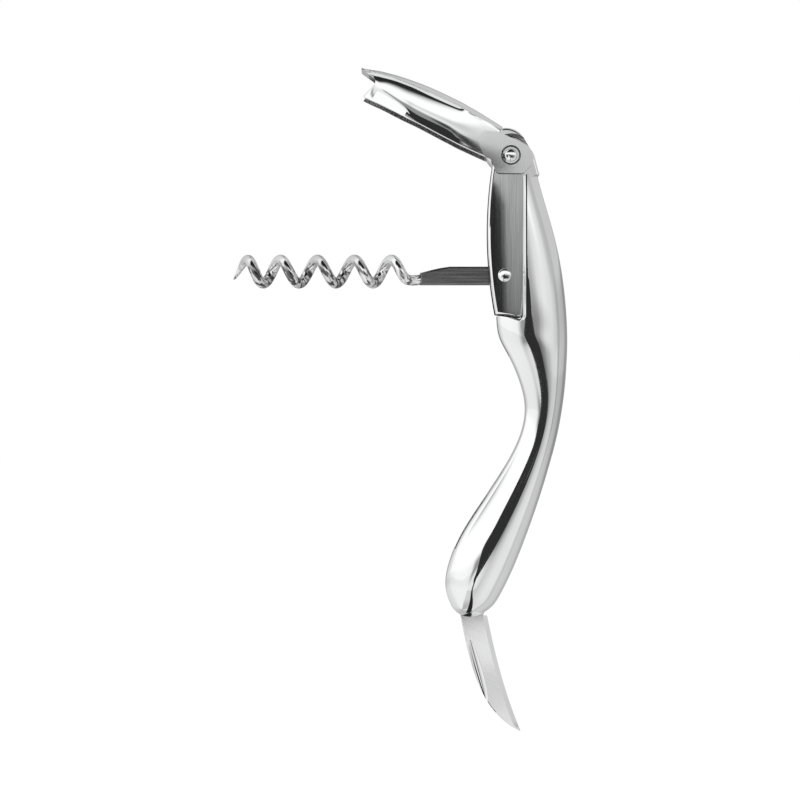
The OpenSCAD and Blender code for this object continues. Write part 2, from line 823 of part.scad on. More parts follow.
module worm_spacer(side) {
    room = (frame_width - 2 * sheet - shank_thick) / 2;
    color(satin) translate(rivet) difference() {
        cross_round(spacer_d, room - 2 * run_gap, side * (shank_thick + room) / 2);
        cross_round(worm_rivet_d + 2 * fixed_gap, lever_width);
    }
}

module worm_spacer_near() {
    worm_spacer(-1);
}

module worm_spacer_far() {
    worm_spacer(1);
}

// Knife, drawn with its pin at the origin

// Section across the blade: a flat back and a ground edge
function blade_ring(t) =
    let (
        edge = bezier(knife_edge_shares, t) * knife_length,
        spine = bezier(knife_spine_shares, t) * knife_length,
        span = norm(edge - spine),
        bevel = min(knife_bevel, knife_bevel_share * span),
        ground = edge + (spine - edge) * bevel / span,
        h = knife_thick / 2,
        e = knife_edge_thick / 2
    )
        [
            [spine[0], -h, spine[1]],
            [ground[0], -h, ground[1]],
            [edge[0], -e, edge[1]],
            [edge[0], e, edge[1]],
            [ground[0], h, ground[1]],
            [spine[0], h, spine[1]],
        ];

module knife() {
    root = [knife_edge_shares[0], knife_spine_shares[0]] * knife_length;
    nick_a = nick_shares[0] * knife_length;
    nick_b = nick_shares[1] * knife_length;
    nick_span = norm(nick_b - nick_a);
    nick_r = (nick_span * nick_span / nick_width + nick_width) / 4;
    nick_turn = atan2(nick_b[1] - nick_a[1], nick_b[0] - nick_a[0]);
    color(satin) at_knife() difference() {
        union() {
            skin([for (i = [0 : knife_steps]) blade_ring(i / knife_steps)]);
            across(knife_thick) {
                circle(r = knife_root_r, $fn = round_fn);
                polygon([[-knife_root_r, 0], root[1], root[0] - [knife_bevel, 0], [knife_root_r, 0]]);
            }
        }
        cross_round(knife_pin_d + 2 * run_gap, lever_width);
        across(2 * nick_depth, -knife_thick / 2) translate((nick_a + nick_b) / 2) rotate(nick_turn)
            intersection_for(side = [-1, 1])
                translate([0, side * (nick_r - nick_width / 2)]) circle(r = nick_r, $fn = bow_fn);
    }
}

knife_pin_far = knife_pin_width_share * bulb_width / 2 - pin_flush;
knife_pin_near = slot_width / 2 + blind_wall;

module knife_pin_shape(grow) {
    width = knife_pin_far + knife_pin_near;
    cross_round(knife_pin_d + 2 * grow, width, (knife_pin_far - knife_pin_near) / 2);
}

module knife_pin_hole() {
    translate(knife_pin_at)
        cross_round(knife_pin_d + 2 * fixed_gap, knife_pin_near + far_cut, (far_cut - knife_pin_near) / 2);
}

module knife_pin() {
    color(polished) translate(knife_pin_at) knife_pin_shape(0);
}

module knife_washer(side) {
    color(satin) translate(knife_pin_at) difference() {
        cross_round(knife_washer_d, knife_washer_thick, side * (slot_width - knife_washer_thick) / 2);
        cross_round(knife_pin_d + 2 * fixed_gap, lever_width);
    }
}

module knife_washer_near() {
    knife_washer(-1);
}

module knife_washer_far() {
    knife_washer(1);
}

handle();
frame();
frame_screw_upper();
frame_screw_lower();
lever();
lever_pin();
lever_washer_near();
lever_washer_far();
worm();
worm_rivet();
worm_spacer_near();
worm_spacer_far();
knife();
knife_pin();
knife_washer_near();
knife_washer_far();
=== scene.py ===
import logging
import math
from collections.abc import Callable, Sequence
from dataclasses import dataclass, field
from enum import Enum
from itertools import count

import bmesh
import bpy
from mathutils import Matrix, Vector

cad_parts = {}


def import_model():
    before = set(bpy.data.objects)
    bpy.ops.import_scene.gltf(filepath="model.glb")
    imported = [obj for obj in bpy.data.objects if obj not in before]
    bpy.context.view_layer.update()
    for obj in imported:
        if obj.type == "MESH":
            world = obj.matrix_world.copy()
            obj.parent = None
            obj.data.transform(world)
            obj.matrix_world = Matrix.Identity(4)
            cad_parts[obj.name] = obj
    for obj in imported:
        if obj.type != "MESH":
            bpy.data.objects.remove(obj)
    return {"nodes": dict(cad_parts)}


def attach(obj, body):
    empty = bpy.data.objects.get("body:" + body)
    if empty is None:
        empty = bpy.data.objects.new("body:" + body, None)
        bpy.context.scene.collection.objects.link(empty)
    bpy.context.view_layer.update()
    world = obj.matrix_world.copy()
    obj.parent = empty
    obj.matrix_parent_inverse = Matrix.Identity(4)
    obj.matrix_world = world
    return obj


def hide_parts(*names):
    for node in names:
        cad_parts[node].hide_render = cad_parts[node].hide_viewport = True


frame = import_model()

LOG = logging.getLogger("corkscrew")
Pair = tuple[float, float]
Row = tuple[float, ...]
Value = "Link | float | Sequence[float]"

# Shapes are drawn in millimetres and come into the scene in metres
MM = 0.001
# Signs in Y of the near and the far side
SIDES = (-1.0, 1.0)
# Distance in millimetres within which two points count as one
TOUCH = 1e-4
# Share of Y in a face's normal from which it is shaded flat, and from which it isn't a rim
FLAT = 0.99999
SIDE_FACE = 0.97
WHITE = (1, 1, 1, 1)
# Numbers of the Mix node's sockets for colours: share, first and second colour, and result
MIX_SHARE, MIX_FIRST, MIX_SECOND, MIX_RESULT = 0, 6, 7, 2


class Slot(Enum):
    """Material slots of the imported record."""

    POLISHED = "polished_steel"
    BRUSHED = "brushed_steel"
    FORGED = "forged_steel"
    SATIN = "satin_steel"
    BLADE = "blade_steel"


class Cut(Enum):
    """Ways in which one solid changes another."""

    AWAY = "DIFFERENCE"
    JOIN = "UNION"
    KEEP = "INTERSECT"


# Curves


def eased(rows: Sequence[Row], steps: int) -> list[Row]:
    """Runs a smooth curve through rows of numbers.

    Args:
        rows: The rows to pass through.
        steps: Rows made for each stretch between two given ones.

    Returns:
        The denser rows, the last given one included.
    """
    last = len(rows) - 1
    made = []
    for i in range(last):
        a, b, c, d = rows[max(0, i - 1)], rows[i], rows[i + 1], rows[min(last, i + 2)]
        for k in range(steps):
            t = k / steps
            made.append(tuple(
                0.5 * (
                    2 * q + (r - p) * t + (2 * p - 5 * q + 4 * r - s) * t * t
                    + (3 * q - p - 3 * r + s) * t ** 3
                )
                for p, q, r, s in zip(a, b, c, d)
            ))
    return [*made, tuple(rows[last])]


def calmed(rows: Sequence[Row], passes: int) -> list[Row]:
    """Evens out small waves along rows of numbers, with both ends held.

    Args:
        rows: Rows close together along a curve.
        passes: How many times each row moves to the mean with its neighbours.

    Returns:
        The calmer rows.
    """
    now = [tuple(row) for row in rows]
    for _ in range(passes):
        inner = [
            tuple((p + 2 * q + r) / 4 for p, q, r in zip(now[i - 1], now[i], now[i + 1]))
            for i in range(1, len(now) - 1)
        ]
        now = [now[0], *inner, now[-1]]
    return now


def bezier(points: Sequence[Row], t: float) -> Row:
    """Gives a point of a Bezier curve by halving its list of controls.

    Args:
        points: The controls.
        t: The place along the curve, from 0 to 1.

    Returns:
        The point.
    """
    now = [tuple(p) for p in points]
    while len(now) > 1:
        now = [tuple(a * (1 - t) + b * t for a, b in zip(p, q)) for p, q in zip(now, now[1:])]
    return now[0]


def turned(point: Pair, degrees: float) -> Pair:
    """Turns a point of the side view about the origin, from X towards Z."""
    c, s = math.cos(math.radians(degrees)), math.sin(math.radians(degrees))
    return (point[0] * c - point[1] * s, point[0] * s + point[1] * c)


def moved(points: Sequence[Pair], place: Pair, degrees: float = 0.0) -> list[Pair]:
    """Turns points of the side view and takes them to a place.

    Args:
        points: Points drawn about the origin.
        place: Where the origin goes.
        degrees: The turn from X towards Z.

    Returns:
        The points in place.
    """
    return [(place[0] + x, place[1] + z) for x, z in (turned(p, degrees) for p in points)]


def span(side: float, first: float, last: float) -> list[float]:
    """Gives two places in Y on one side of the tool, the lower one first."""
    return sorted((side * first, side * last))


def on_side(edge: bmesh.types.BMEdge, half: float) -> bool:
    """Says whether an edge lies in the near or in the far face of a solid of some half width."""
    first, last = (v.co.y for v in edge.verts)
    return first * last > 0 and all(abs(abs(y) - half) < TOUCH for y in (first, last))


def on_circle(middle: Pair, radius: float, degrees: float) -> Pair:
    """Gives a circle's point in the side view at an angle from X towards Z."""
    a = math.radians(degrees)
    return (middle[0] + radius * math.cos(a), middle[1] + radius * math.sin(a))


def arc(middle: Pair, radius: float, start: float, end: float, steps: int) -> list[Pair]:
    """Points along an arc in the side view.

    Args:
        middle: The arc's centre.
        radius: The arc's radius.
        start: The first angle in degrees from X towards Z.
        end: The last angle.
        steps: How many stretches the arc has.

    Returns:
        The points, both ends included.
    """
    return [on_circle(middle, radius, start + (end - start) * i / steps) for i in range(steps + 1)]


# Solids


class Solid:
    """Makes solids with the mesh operators and fits them into each other, in millimetres."""

    @staticmethod
    def loft(rings: Sequence[Sequence[Vector]]) -> bmesh.types.BMesh:
        """Skins rings of equally many points, and closes both ends.

        Args:
            rings: The rings from one end to the other.

        Returns:
            The closed mesh.
        """
        bm = bmesh.new()
        circle = bmesh.ops.create_circle(bm, cap_ends=False, segments=len(rings[0]), radius=1.0)
        ring = list(circle["verts"])
        for vert, point in zip(ring, rings[0]):
            vert.co = point
        edges = list(bm.edges)
        bmesh.ops.contextual_create(bm, geom=edges)
        for points in rings[1:]:
            made = bmesh.ops.extrude_edge_only(bm, edges=edges)["geom"]
            fresh = {v for v in made if isinstance(v, bmesh.types.BMVert)}
            ring = [next(e.other_vert(v) for e in v.link_edges if e.other_vert(v) in fresh) for v in ring]
            edges = [e for e in made if isinstance(e, bmesh.types.BMEdge) and set(e.verts) <= fresh]
            for vert, point in zip(ring, points):
                vert.co = point
        bmesh.ops.contextual_create(bm, geom=edges)
        bmesh.ops.recalc_face_normals(bm, faces=bm.faces)
        return bm

    @staticmethod
    def prism(outline: Sequence[Pair], low: float, high: float) -> bmesh.types.BMesh:
        """Draws an outline of the side view out across the tool.

        Args:
            outline: The outline's points in X and Z.
            low: The first end in Y.
            high: The last end in Y.

        Returns:
            The closed mesh.
        """
        bm = bmesh.new()
        face = bm.faces.new([bm.verts.new((x, low, z)) for x, z in outline])
        made = bmesh.ops.extrude_face_region(bm, geom=[face])["geom"]
        fresh = [v for v in made if isinstance(v, bmesh.types.BMVert)]
        bmesh.ops.translate(bm, verts=fresh, vec=(0, high - low, 0))
        bmesh.ops.recalc_face_normals(bm, faces=bm.faces)
        return bm

    @staticmethod
    def layers(outlines: Sequence[Sequence[Pair]], depths: Sequence[float]) -> bmesh.types.BMesh:
        """Skins outlines of the side view that lie at different depths.

        Args:
            outlines: Outlines of equally many points.
            depths: The place of each in Y.

        Returns:
            The closed mesh.
        """
        return Solid.loft([[Vector((x, y, z)) for x, z in line] for line, y in zip(outlines, depths)])

    @staticmethod
    def round_across(outline: Sequence[Pair], place: Pair, segments: int = 64) -> bmesh.types.BMesh:
        """Spins an outline about an axis across the tool.

        Args:
            outline: Points as radius and place in Y. One on the axis closes its end.
            place: The axis in X and Z.
            segments: Faces round the axis.

        Returns:
            The closed mesh.
        """
        bm = bmesh.new()
        ends = outline[0][0] > 0 or outline[-1][0] > 0
        points = [*outline, outline[0]] if ends else list(outline)
        verts = [bm.verts.new((r, y, 0)) for r, y in points]
        edges = [bm.edges.new(pair) for pair in zip(verts, verts[1:])]
        bmesh.ops.spin(
            bm, geom=[*verts, *edges], cent=(0, 0, 0), axis=(0, 1, 0), angle=math.tau, steps=segments,
            use_merge=True,
        )
        bmesh.ops.remove_doubles(bm, verts=bm.verts, dist=TOUCH / 10)
        bmesh.ops.translate(bm, verts=bm.verts, vec=(place[0], 0, place[1]))
        bmesh.ops.recalc_face_normals(bm, faces=bm.faces)
        return bm

    @staticmethod
    def rod(radius: float, place: Pair, low: float, high: float, segments: int = 64) -> bmesh.types.BMesh:
        """Makes a plain round bar across the tool, mostly to bore holes with."""
        return Solid.round_across([(0, low), (radius, low), (radius, high), (0, high)], place, segments)

    @staticmethod
    def hull(points: Sequence[Vector]) -> bmesh.types.BMesh:
        """Wraps the tightest convex skin round points.

        Args:
            points: The points.

        Returns:
            The closed mesh.
        """
        bm = bmesh.new()
        verts = [bm.verts.new(p) for p in points]
        made = bmesh.ops.convex_hull(bm, input=verts, use_existing_faces=False)
        inside = [*made["geom_interior"], *made["geom_unused"]]
        loose = {v for v in inside if isinstance(v, bmesh.types.BMVert)}
        bmesh.ops.delete(bm, geom=list(loose), context="VERTS")
        bmesh.ops.dissolve_limit(bm, angle_limit=0.001, verts=bm.verts, edges=bm.edges)
        bmesh.ops.recalc_face_normals(bm, faces=bm.faces)
        return bm

    @staticmethod
    def soften(
        bm: bmesh.types.BMesh, pick: Callable[[bmesh.types.BMEdge], bool], size: float, segments: int = 2
    ) -> None:
        """Rounds the picked edges of a mesh.

        Args:
            bm: The mesh.
            pick: Says of an edge whether it is rounded.
            size: The distance from the old edge to the new faces' ends.
            segments: Faces across the rounding.
        """
        bmesh.ops.bevel(
            bm, geom=[e for e in bm.edges if pick(e)], offset=size, offset_type="OFFSET", affect="EDGES",
            segments=segments, profile=0.5, material=-1, clamp_overlap=True,
        )
        bmesh.ops.recalc_face_normals(bm, faces=bm.faces)

    @staticmethod
    def place(bm: bmesh.types.BMesh, name: str, material: bpy.types.Material) -> bpy.types.Object:
        """Puts a mesh into the scene as an object at the origin, still in millimetres.

        Args:
            bm: The mesh, which is used up.
            name: The object's name.
            material: Its finish.

        Returns:
            The object.
        """
        mesh = bpy.data.meshes.new(name)
        bm.to_mesh(mesh)
        bm.free()
        mesh.materials.append(material)
        made = bpy.data.objects.new(name, mesh)
        bpy.context.scene.collection.objects.link(made)
        return made

    @staticmethod
    def skin_rims(piece: bpy.types.Object, material: bpy.types.Material) -> None:
        """Gives another finish to all faces that don't lie flat on the near or far side.

        Args:
            piece: The solid.
            material: The finish of its rims.
        """
        piece.data.materials.append(material)
        for face in piece.data.polygons:
            face.material_index = int(abs(face.normal.y) < SIDE_FACE)

    @staticmethod
    def bake(piece: bpy.types.Object) -> None:
        """Takes the modifiers' result into the object's own mesh.

        Args:
            piece: The object.
        """
        graph = bpy.context.evaluated_depsgraph_get()
        mesh = bpy.data.meshes.new_from_object(piece.evaluated_get(graph), depsgraph=graph)
        old = piece.data
        piece.modifiers.clear()
        piece.data = mesh
        bpy.data.meshes.remove(old)

    @staticmethod
    def lifted(piece: bpy.types.Object) -> bmesh.types.BMesh:
        """Takes a solid out of the scene again, to change another one with it.

        Args:
            piece: The solid, which is used up.

        Returns:
            Its mesh.
        """
        bm = bmesh.new()
        bm.from_mesh(piece.data)
        bpy.data.objects.remove(piece)
        return bm

    @staticmethod
    def fit(
        piece: bpy.types.Object, cutter: bmesh.types.BMesh, way: Cut,
        material: bpy.types.Material | None = None,
    ) -> None:
        """Changes a solid by another, whose faces bring their own finish.

        Args:
            piece: The solid to change.
            cutter: The other solid, which is used up.
            way: How the two go together.
            material: The finish of the faces that the other leaves, or None for the piece's own.
        """
        tool = Solid.place(cutter, "tool", material or piece.data.materials[0])
        change = piece.modifiers.new("fit", "BOOLEAN")
        change.operation = way.value
        change.object = tool
        change.solver = "EXACT"
        change.material_mode = "TRANSFER"
        Solid.bake(piece)
        mesh = tool.data
        bpy.data.objects.remove(tool)
        bpy.data.meshes.remove(mesh)

    @staticmethod
    def finish(piece: bpy.types.Object, crisp: float = 32.0) -> None:
        """Cleans a solid, shades it smooth but for flat sides and crisp edges, and scales it to metres.

        Args:
            piece: The solid.
            crisp: The angle in degrees past which an edge stays crisp.
        """
        bm = bmesh.new()
        bm.from_mesh(piece.data)
        bmesh.ops.remove_doubles(bm, verts=bm.verts, dist=TOUCH)
        bmesh.ops.dissolve_degenerate(bm, edges=bm.edges, dist=TOUCH)
        bmesh.ops.scale(bm, verts=bm.verts, vec=(MM, MM, MM))
        bm.to_mesh(piece.data)
        bm.free()
        piece.data.set_sharp_from_angle(angle=math.radians(crisp))
        for face in piece.data.polygons:
            face.use_smooth = abs(face.normal.y) < FLAT


# Shader maths


class Link:
    """One output in a material's node tree, on which Python's operators add Math nodes."""

    def __init__(self, tree: "Tree", socket: bpy.types.NodeSocket) -> None:
        """Wraps a socket of a tree."""
        self.tree = tree
        self.socket = socket

    def math(self, operation: str, first: Value, second: Value = 0.0) -> "Link":
        """Adds a Math node."""
        return self.tree.add("ShaderNodeMath", {"operation": operation}, {0: first, 1: second})

    def __add__(self, other: Value) -> "Link":
        """Gives self + other."""
        return self.math("ADD", self, other)

    __radd__ = __add__

    def __mul__(self, other: Value) -> "Link":
        """Gives self * other."""
        return self.math("MULTIPLY", self, other)

    __rmul__ = __mul__

    def __sub__(self, other: Value) -> "Link":
        """Gives self - other."""
        return self.math("SUBTRACT", self, other)

    def __rsub__(self, other: Value) -> "Link":
        """Gives other - self."""
        return self.math("SUBTRACT", other, self)

    def __pow__(self, other: Value) -> "Link":
        """Gives self to a power."""
        return self.math("POWER", self, other)

    def size(self) -> "Link":
        """Gives self without its sign."""
        return self.math("ABSOLUTE", self)

    def root(self) -> "Link":
        """Gives the square root of self."""
        return self.math("SQRT", self)

    def over(self, low: float, high: float) -> "Link":
        """Rises smoothly from 0 to 1.

        Args:
            low: Where the rise starts.
            high: Where it is done.

        Returns:
            The share.
        """
        return self.tree.add(
            "ShaderNodeMapRange", {"interpolation_type": "SMOOTHSTEP"},
            {"Value": self, "From Min": low, "From Max": high, "To Min": 0.0, "To Max": 1.0},
        )


class Tree:
    """A material's or world's node tree, with one way to add any node."""

    def __init__(self, name: str, world: bool = False) -> None:
        """Starts a material with a Principled surface, or an empty world.

        Args:
            name: The material's or world's name.
            world: Whether it is a world.
        """
        self.owner = (bpy.data.worlds if world else bpy.data.materials).new(name)
        self.owner.use_nodes = True
        self.nodes = self.owner.node_tree.nodes
        self.links = self.owner.node_tree.links
        self.surface = next((n for n in self.nodes if n.type == "BSDF_PRINCIPLED"), None)
        self.ending = next(n for n in self.nodes if n.type in ("OUTPUT_MATERIAL", "OUTPUT_WORLD"))

    @property
    def material(self) -> bpy.types.Material:
        """Gives the finished material."""
        return self.owner

    def metal(self, colour: "Link", rough: "Link", normal: "Link") -> bpy.types.Material:
        """Makes the surface a metal.

        Args:
            colour: Its colour.
            rough: Its roughness.
            normal: Its shading normal.

        Returns:
            The finished material.
        """
        values = {"Base Color": colour, "Roughness": rough, "Metallic": 1.0, "Normal": normal}
        for name, value in values.items():
            self.feed(self.surface.inputs[name], value)
        return self.material

    def end(self, shader: "Link") -> None:
        """Makes a shader the tree's surface."""
        self.links.new(shader.socket, self.ending.inputs["Surface"])

    def ray(self, *kinds: str) -> "Link":
        """Gives 1 for rays of any of the named kinds, and 0 for the rest.

        Args:
            kinds: The outputs of the Light Path node.

        Returns:
            The switch.
        """
        found = [self.add("ShaderNodeLightPath", {}, {}, kind) for kind in kinds]
        now = found[0]
        for other in found[1:]:
            now = now.math("MAXIMUM", now, other)
        return now

    def part(self, vector: "Link", axis: str) -> "Link":
        """Gives one of a vector's parts."""
        return self.add("ShaderNodeSeparateXYZ", {}, {0: vector}, axis)

    def ramp(self, share: "Link", stops: Sequence[Pair], interpolation: str = "LINEAR") -> "Link":
        """Looks a tone up along a row of stops."""
        return self.add("ShaderNodeValToRGB", {"stops": stops, "blend": interpolation}, {0: share})

    def blend(self, share: Value, first: "Link", second: "Link") -> "Link":
        """Mixes two shaders."""
        return self.add("ShaderNodeMixShader", {}, {0: share, 1: first, 2: second})

    def feed(self, socket: bpy.types.NodeSocket, value: Value) -> None:
        """Gives a socket its value or its link.

        Args:
            socket: The socket.
            value: The value or link.
        """
        if isinstance(value, Link):
            self.links.new(value.socket, socket)
        else:
            socket.default_value = value

    def add(
        self, kind: str, settings: dict[str, object], inputs: dict[str | int, Value], output: str | int = 0
    ) -> Link:
        """Adds a node.

        Args:
            kind: The node's type.
            settings: Its own settings, set first.
            inputs: The values or links of its sockets, by name or number.
            output: The output that is wanted.

        Returns:
            That output.
        """
        node = self.nodes.new(kind)
        for key, value in settings.items():
            if key == "stops":
                ramp = node.color_ramp
                ramp.elements.remove(ramp.elements[1])
                for i, (place, tone) in enumerate(value):
                    stop = ramp.elements.new(place) if i else ramp.elements[0]
                    stop.position = place
                    stop.color = (tone, tone, tone, 1)
            elif key == "blend":
                node.color_ramp.interpolation = value
            else:
                setattr(node, key, value)
        for key, value in inputs.items():
            self.feed(node.inputs[key], value)
        return Link(self, node.outputs[output])

    def where(self, scale: Row = (1, 1, 1), turn: Row = (0, 0, 0)) -> Link:
        """Gives the place on the piece in metres, first turned and then scaled.

        Args:
            scale: The scale along each of the turned axes.
            turn: The turn about each axis in degrees.

        Returns:
            The place as a vector.
        """
        place = self.add("ShaderNodeTexCoord", {}, {}, "Object")
        angles = tuple(math.radians(a) for a in turn)
        kind, point = "ShaderNodeMapping", {"vector_type": "POINT"}
        along = self.add(kind, point, {"Vector": place, "Rotation": angles})
        return self.add(kind, point, {"Vector": along, "Scale": scale})

    def distance(self, spot: Pair) -> Link:
        """Gives the distance in the side view from a spot.

        Args:
            spot: The spot in X and Z, in metres.

        Returns:
            The distance in metres.
        """
        place = self.where()
        square = (self.part(place, "X") - spot[0]) ** 2 + (self.part(place, "Z") - spot[1]) ** 2
        return square.root()

    def noise(self, vector: Link, scale: float, detail: float = 2.0) -> Link:
        """Gives soft noise from 0 to 1."""
        return self.add("ShaderNodeTexNoise", {}, {"Vector": vector, "Scale": scale, "Detail": detail}, "Fac")

    def mix(self, share: Value, first: Value, second: Value) -> Link:
        """Mixes two colours or tones, as links or as plain values with alpha."""
        inputs = {MIX_SHARE: share, MIX_FIRST: first, MIX_SECOND: second}
        return self.add("ShaderNodeMix", {"data_type": "RGBA"}, inputs, MIX_RESULT)

    def tint(self, share: Value, first: Row, second: Row) -> Link:
        """Mixes two plain colours, given without alpha."""
        return self.mix(share, (*first, 1), (*second, 1))

    def relief(self, height: Link, distance: float, strength: float) -> Link:
        """Turns a height into a shading normal.

        Args:
            height: The height from 0 to 1.
            distance: The height's size in metres.
            strength: How much of it shows.

        Returns:
            The normal.
        """
        return self.add("ShaderNodeBump", {}, {"Height": height, "Distance": distance, "Strength": strength})


# Finishes


@dataclass(frozen=True)
class Polished:
    """Mirror polish with the faint hairlines and haze of handling, and optional dark streaks whose fading
    towards the top is painted shade.
    """

    name: str
    light: Row = (0.90, 0.903, 0.905)
    dark: Row = (0.80, 0.805, 0.81)
    gloss: float = 0.035
    # Clouds of haze: added roughness, scale, noise from clear to full, and share of the darker colour
    haze: float = 0.05
    cloud_scale: float = 45.0
    cloud_edge: Pair = (0.35, 0.75)
    haze_edge: Pair = (0.4, 0.8)
    cloud_share: float = 0.3
    # Hairlines: scale, stretch, turn, noise from none to full, depth in metres, and their shares of the
    # darker colour, of the roughness and of the bump
    hair_scale: float = 5200.0
    hair_stretch: float = 0.06
    hair_turn: float = 24.0
    hair_edge: Pair = (0.70, 0.86)
    hair_depth: float = 0.0000002
    hair_share: float = 0.08
    hair_rough: float = 0.02
    hair_bump: float = 0.12
    # Spot in X and Z about which the skin is softer, in metres, its two radii and the added roughness
    spot: Pair = (0.0, 0.0)
    reach: Pair = (0.0, 0.0)
    soft: float = 0.0
    # Dark drawn streaks, kept below a height as painted shade on the lower part: share, turn of the strands
    # that they run along, scale, stretch, noise from none to full, and the heights in metres between which
    # they fade out above
    drawn: float = 0.0
    strand_turn: float = 38.0
    strand_scale: float = 900.0
    strand_stretch: float = 0.2
    strand_edge: Pair = (0.48, 0.56)
    shade_fade: Pair = (0.0315, 0.0350)

    def make(self) -> bpy.types.Material:
        """Builds the material.

        Returns:
            The material.
        """
        tree = Tree(self.name)
        cloud = tree.noise(tree.where(), self.cloud_scale, 3.0)
        line = tree.noise(tree.where((1, 1, self.hair_stretch), (0, self.hair_turn, 0)), self.hair_scale, 1.0)
        hair = line.over(*self.hair_edge)
        shade = cloud.over(*self.cloud_edge) * self.cloud_share + hair * self.hair_share
        if self.drawn:
            along = tree.where((1, 1, self.strand_stretch), (0, self.strand_turn, 0))
            run = tree.noise(along, self.strand_scale)
            # Painted shade: the streaks darken only the lower part and fade out towards the top
            lower = 1.0 - tree.part(tree.where(), "Z").over(*self.shade_fade)
            shade = shade + run.over(*self.strand_edge) * lower * self.drawn
        rough = cloud.over(*self.haze_edge) * self.haze + hair * self.hair_rough + self.gloss
        if self.soft:
            rough = rough + (1.0 - tree.distance(self.spot).over(*self.reach)) * self.soft
        normal = tree.relief(line, self.hair_depth, self.hair_bump)
        return tree.metal(tree.tint(shade, self.light, self.dark), rough, normal)


@dataclass(frozen=True)
class Brushed:
    """Sheet brushed along one direction."""

    name: str
    light: Row = (0.60, 0.605, 0.61)
    dark: Row = (0.40, 0.405, 0.41)
    rough: float = 0.24
    # Share of the roughness that the strokes add
    rough_share: float = 0.4
    turn: float = 0.0
    depth: float = 0.000004
    # Scale and stretch of the fine and of the broad strokes, the share of the fine ones, their noise
    # from dark to light and from smooth to rough, and their share of the bump
    fine: Pair = (9000.0, 0.012)
    broad: Pair = (1800.0, 0.02)
    fine_share: float = 0.65
    tone_edge: Pair = (0.32, 0.68)
    rough_edge: Pair = (0.3, 0.7)
    bump: float = 0.6

    def make(self) -> bpy.types.Material:
        """Builds the material.

        Returns:
            The material.
        """
        tree = Tree(self.name)
        fine, broad = [
            tree.noise(tree.where((1, 1, stretch), (0, self.turn, 0)), scale)
            for scale, stretch in (self.fine, self.broad)
        ]
        grain = fine * self.fine_share + broad * (1.0 - self.fine_share)
        rough = grain.over(*self.rough_edge) * (self.rough * self.rough_share) + self.rough
        normal = tree.relief(grain, self.depth, self.bump)
        return tree.metal(tree.tint(grain.over(*self.tone_edge), self.dark, self.light), rough, normal)


@dataclass(frozen=True)
class Blasted:
    """Rough grey skin that casting and blasting leave inside a hollow; with near-black tones it serves as
    painted shadow.
    """

    name: str
    light: Row = (0.70, 0.70, 0.70)
    dark: Row = (0.06, 0.06, 0.06)
    rough: float = 0.42
    scale: float = 2800.0
    cloud_scale: float = 220.0
    # Grit: share of the colour, noise from dark to light, added roughness, depth in metres and bump
    grit_share: float = 0.8
    grit_edge: Pair = (0.38, 0.66)
    grit_rough: float = 0.2
    depth: float = 0.00003
    bump: float = 0.6

    def make(self) -> bpy.types.Material:
        """Builds the material.

        Returns:
            The material.
        """
        tree = Tree(self.name)
        grit = tree.noise(tree.where(), self.scale)
        cloud = tree.noise(tree.where(), self.cloud_scale)
        shade = grit.over(*self.grit_edge) * self.grit_share + cloud * (1.0 - self.grit_share)
        normal = tree.relief(grit, self.depth, self.bump)
        rough = grit * self.grit_rough + self.rough
        return tree.metal(tree.tint(shade, self.dark, self.light), rough, normal)


# Shared places and sizes


@dataclass
class Layout:
    """Places and sizes that several pieces share, in millimetres and in the side view."""

    pin: Pair = (27.5, 60.7)
    rivet: Pair = (26.0, 31.0)
    knife_pin: Pair = (19.997, -47.4209)
    handle_drop: float = 114.9
    handle_sweep: float = 30.5
    bulb_width: float = 14.8
    # The frame: width over its plates, sheet, back of its web, and height, slope and corner of its foot
    frame_width: float = 9.7
    sheet: float = 1.2
    web_x: float = 30.5
    foot_z: float = 20.4
    foot_slope: float = 9.0
    foot_r: float = 1.0
    lever_length: float = 42.85
    lever_width: float = 13.0
    lever_rise: float = 30.0
    lever_pin_d: float = 2.6
    worm_rivet_d: float = 2.6
    knife_length: float = 36.6
    knife_turn: float = 140.0
    # The worm: wire, coil, how far its coil rises over the rivet, shank, bend between the two, and eye
    wire_d: float = 2.6
    coil_d: float = 8.5
    coil_pitch: float = 9.25
    coil_turns: float = 4.36
    coil_overturn: float = 0.28
    coil_rise: float = 1.1
    shank_length: float = 21.0
    shank_half: float = 2.3
    bend_length: float = 4.6
    eye_r: float = 2.9
    worm_turn: float = 86.0
    # The coil's first turns are tighter: over how many turns, and by which share at the point
    tight_turns: float = 1.5
    tight_share: float = 0.28
    # Running and fixed clearance round pins
    run_gap: float = 0.05
    fixed_gap: float = 0.02
    # Overrun of cutting solids past what they cut, and a short one
    far: float = 40.0
    over: float = 1.0

    def advance(self, turns: float) -> float:
        """Gives how far the coil has come from its point after some turns."""
        t = min(turns, self.tight_turns)
        return self.coil_pitch * (turns - self.tight_share * (t - t * t / (2 * self.tight_turns)))

    def reach(self) -> float:
        """Gives the distance from the rivet to the worm's point."""
        coil = self.advance(self.coil_turns + self.coil_overturn)
        return self.shank_length + self.bend_length + coil + self.wire_d / 2

    def foot(self, grow: float, top: float, steps: int = 12) -> list[Pair]:
        """Outlines what lies above the frame's sloping foot and before its back.

        Args:
            grow: How far the outline stands off.
            top: The outline's upper end.
            steps: Stretches of the round corner.

        Returns:
            The outline.
        """
        slope = math.radians(self.foot_slope)
        middle = (self.web_x - self.foot_r, self.foot_z + self.foot_r)
        r = self.foot_r + grow
        corner = arc(middle, r, -(90 + self.foot_slope), 0.0, steps)
        front = (corner[0][0] - self.far * math.cos(slope), corner[0][1] + self.far * math.sin(slope))
        return [(front[0], top), front, *corner, (middle[0] + r, top)]


# The handle


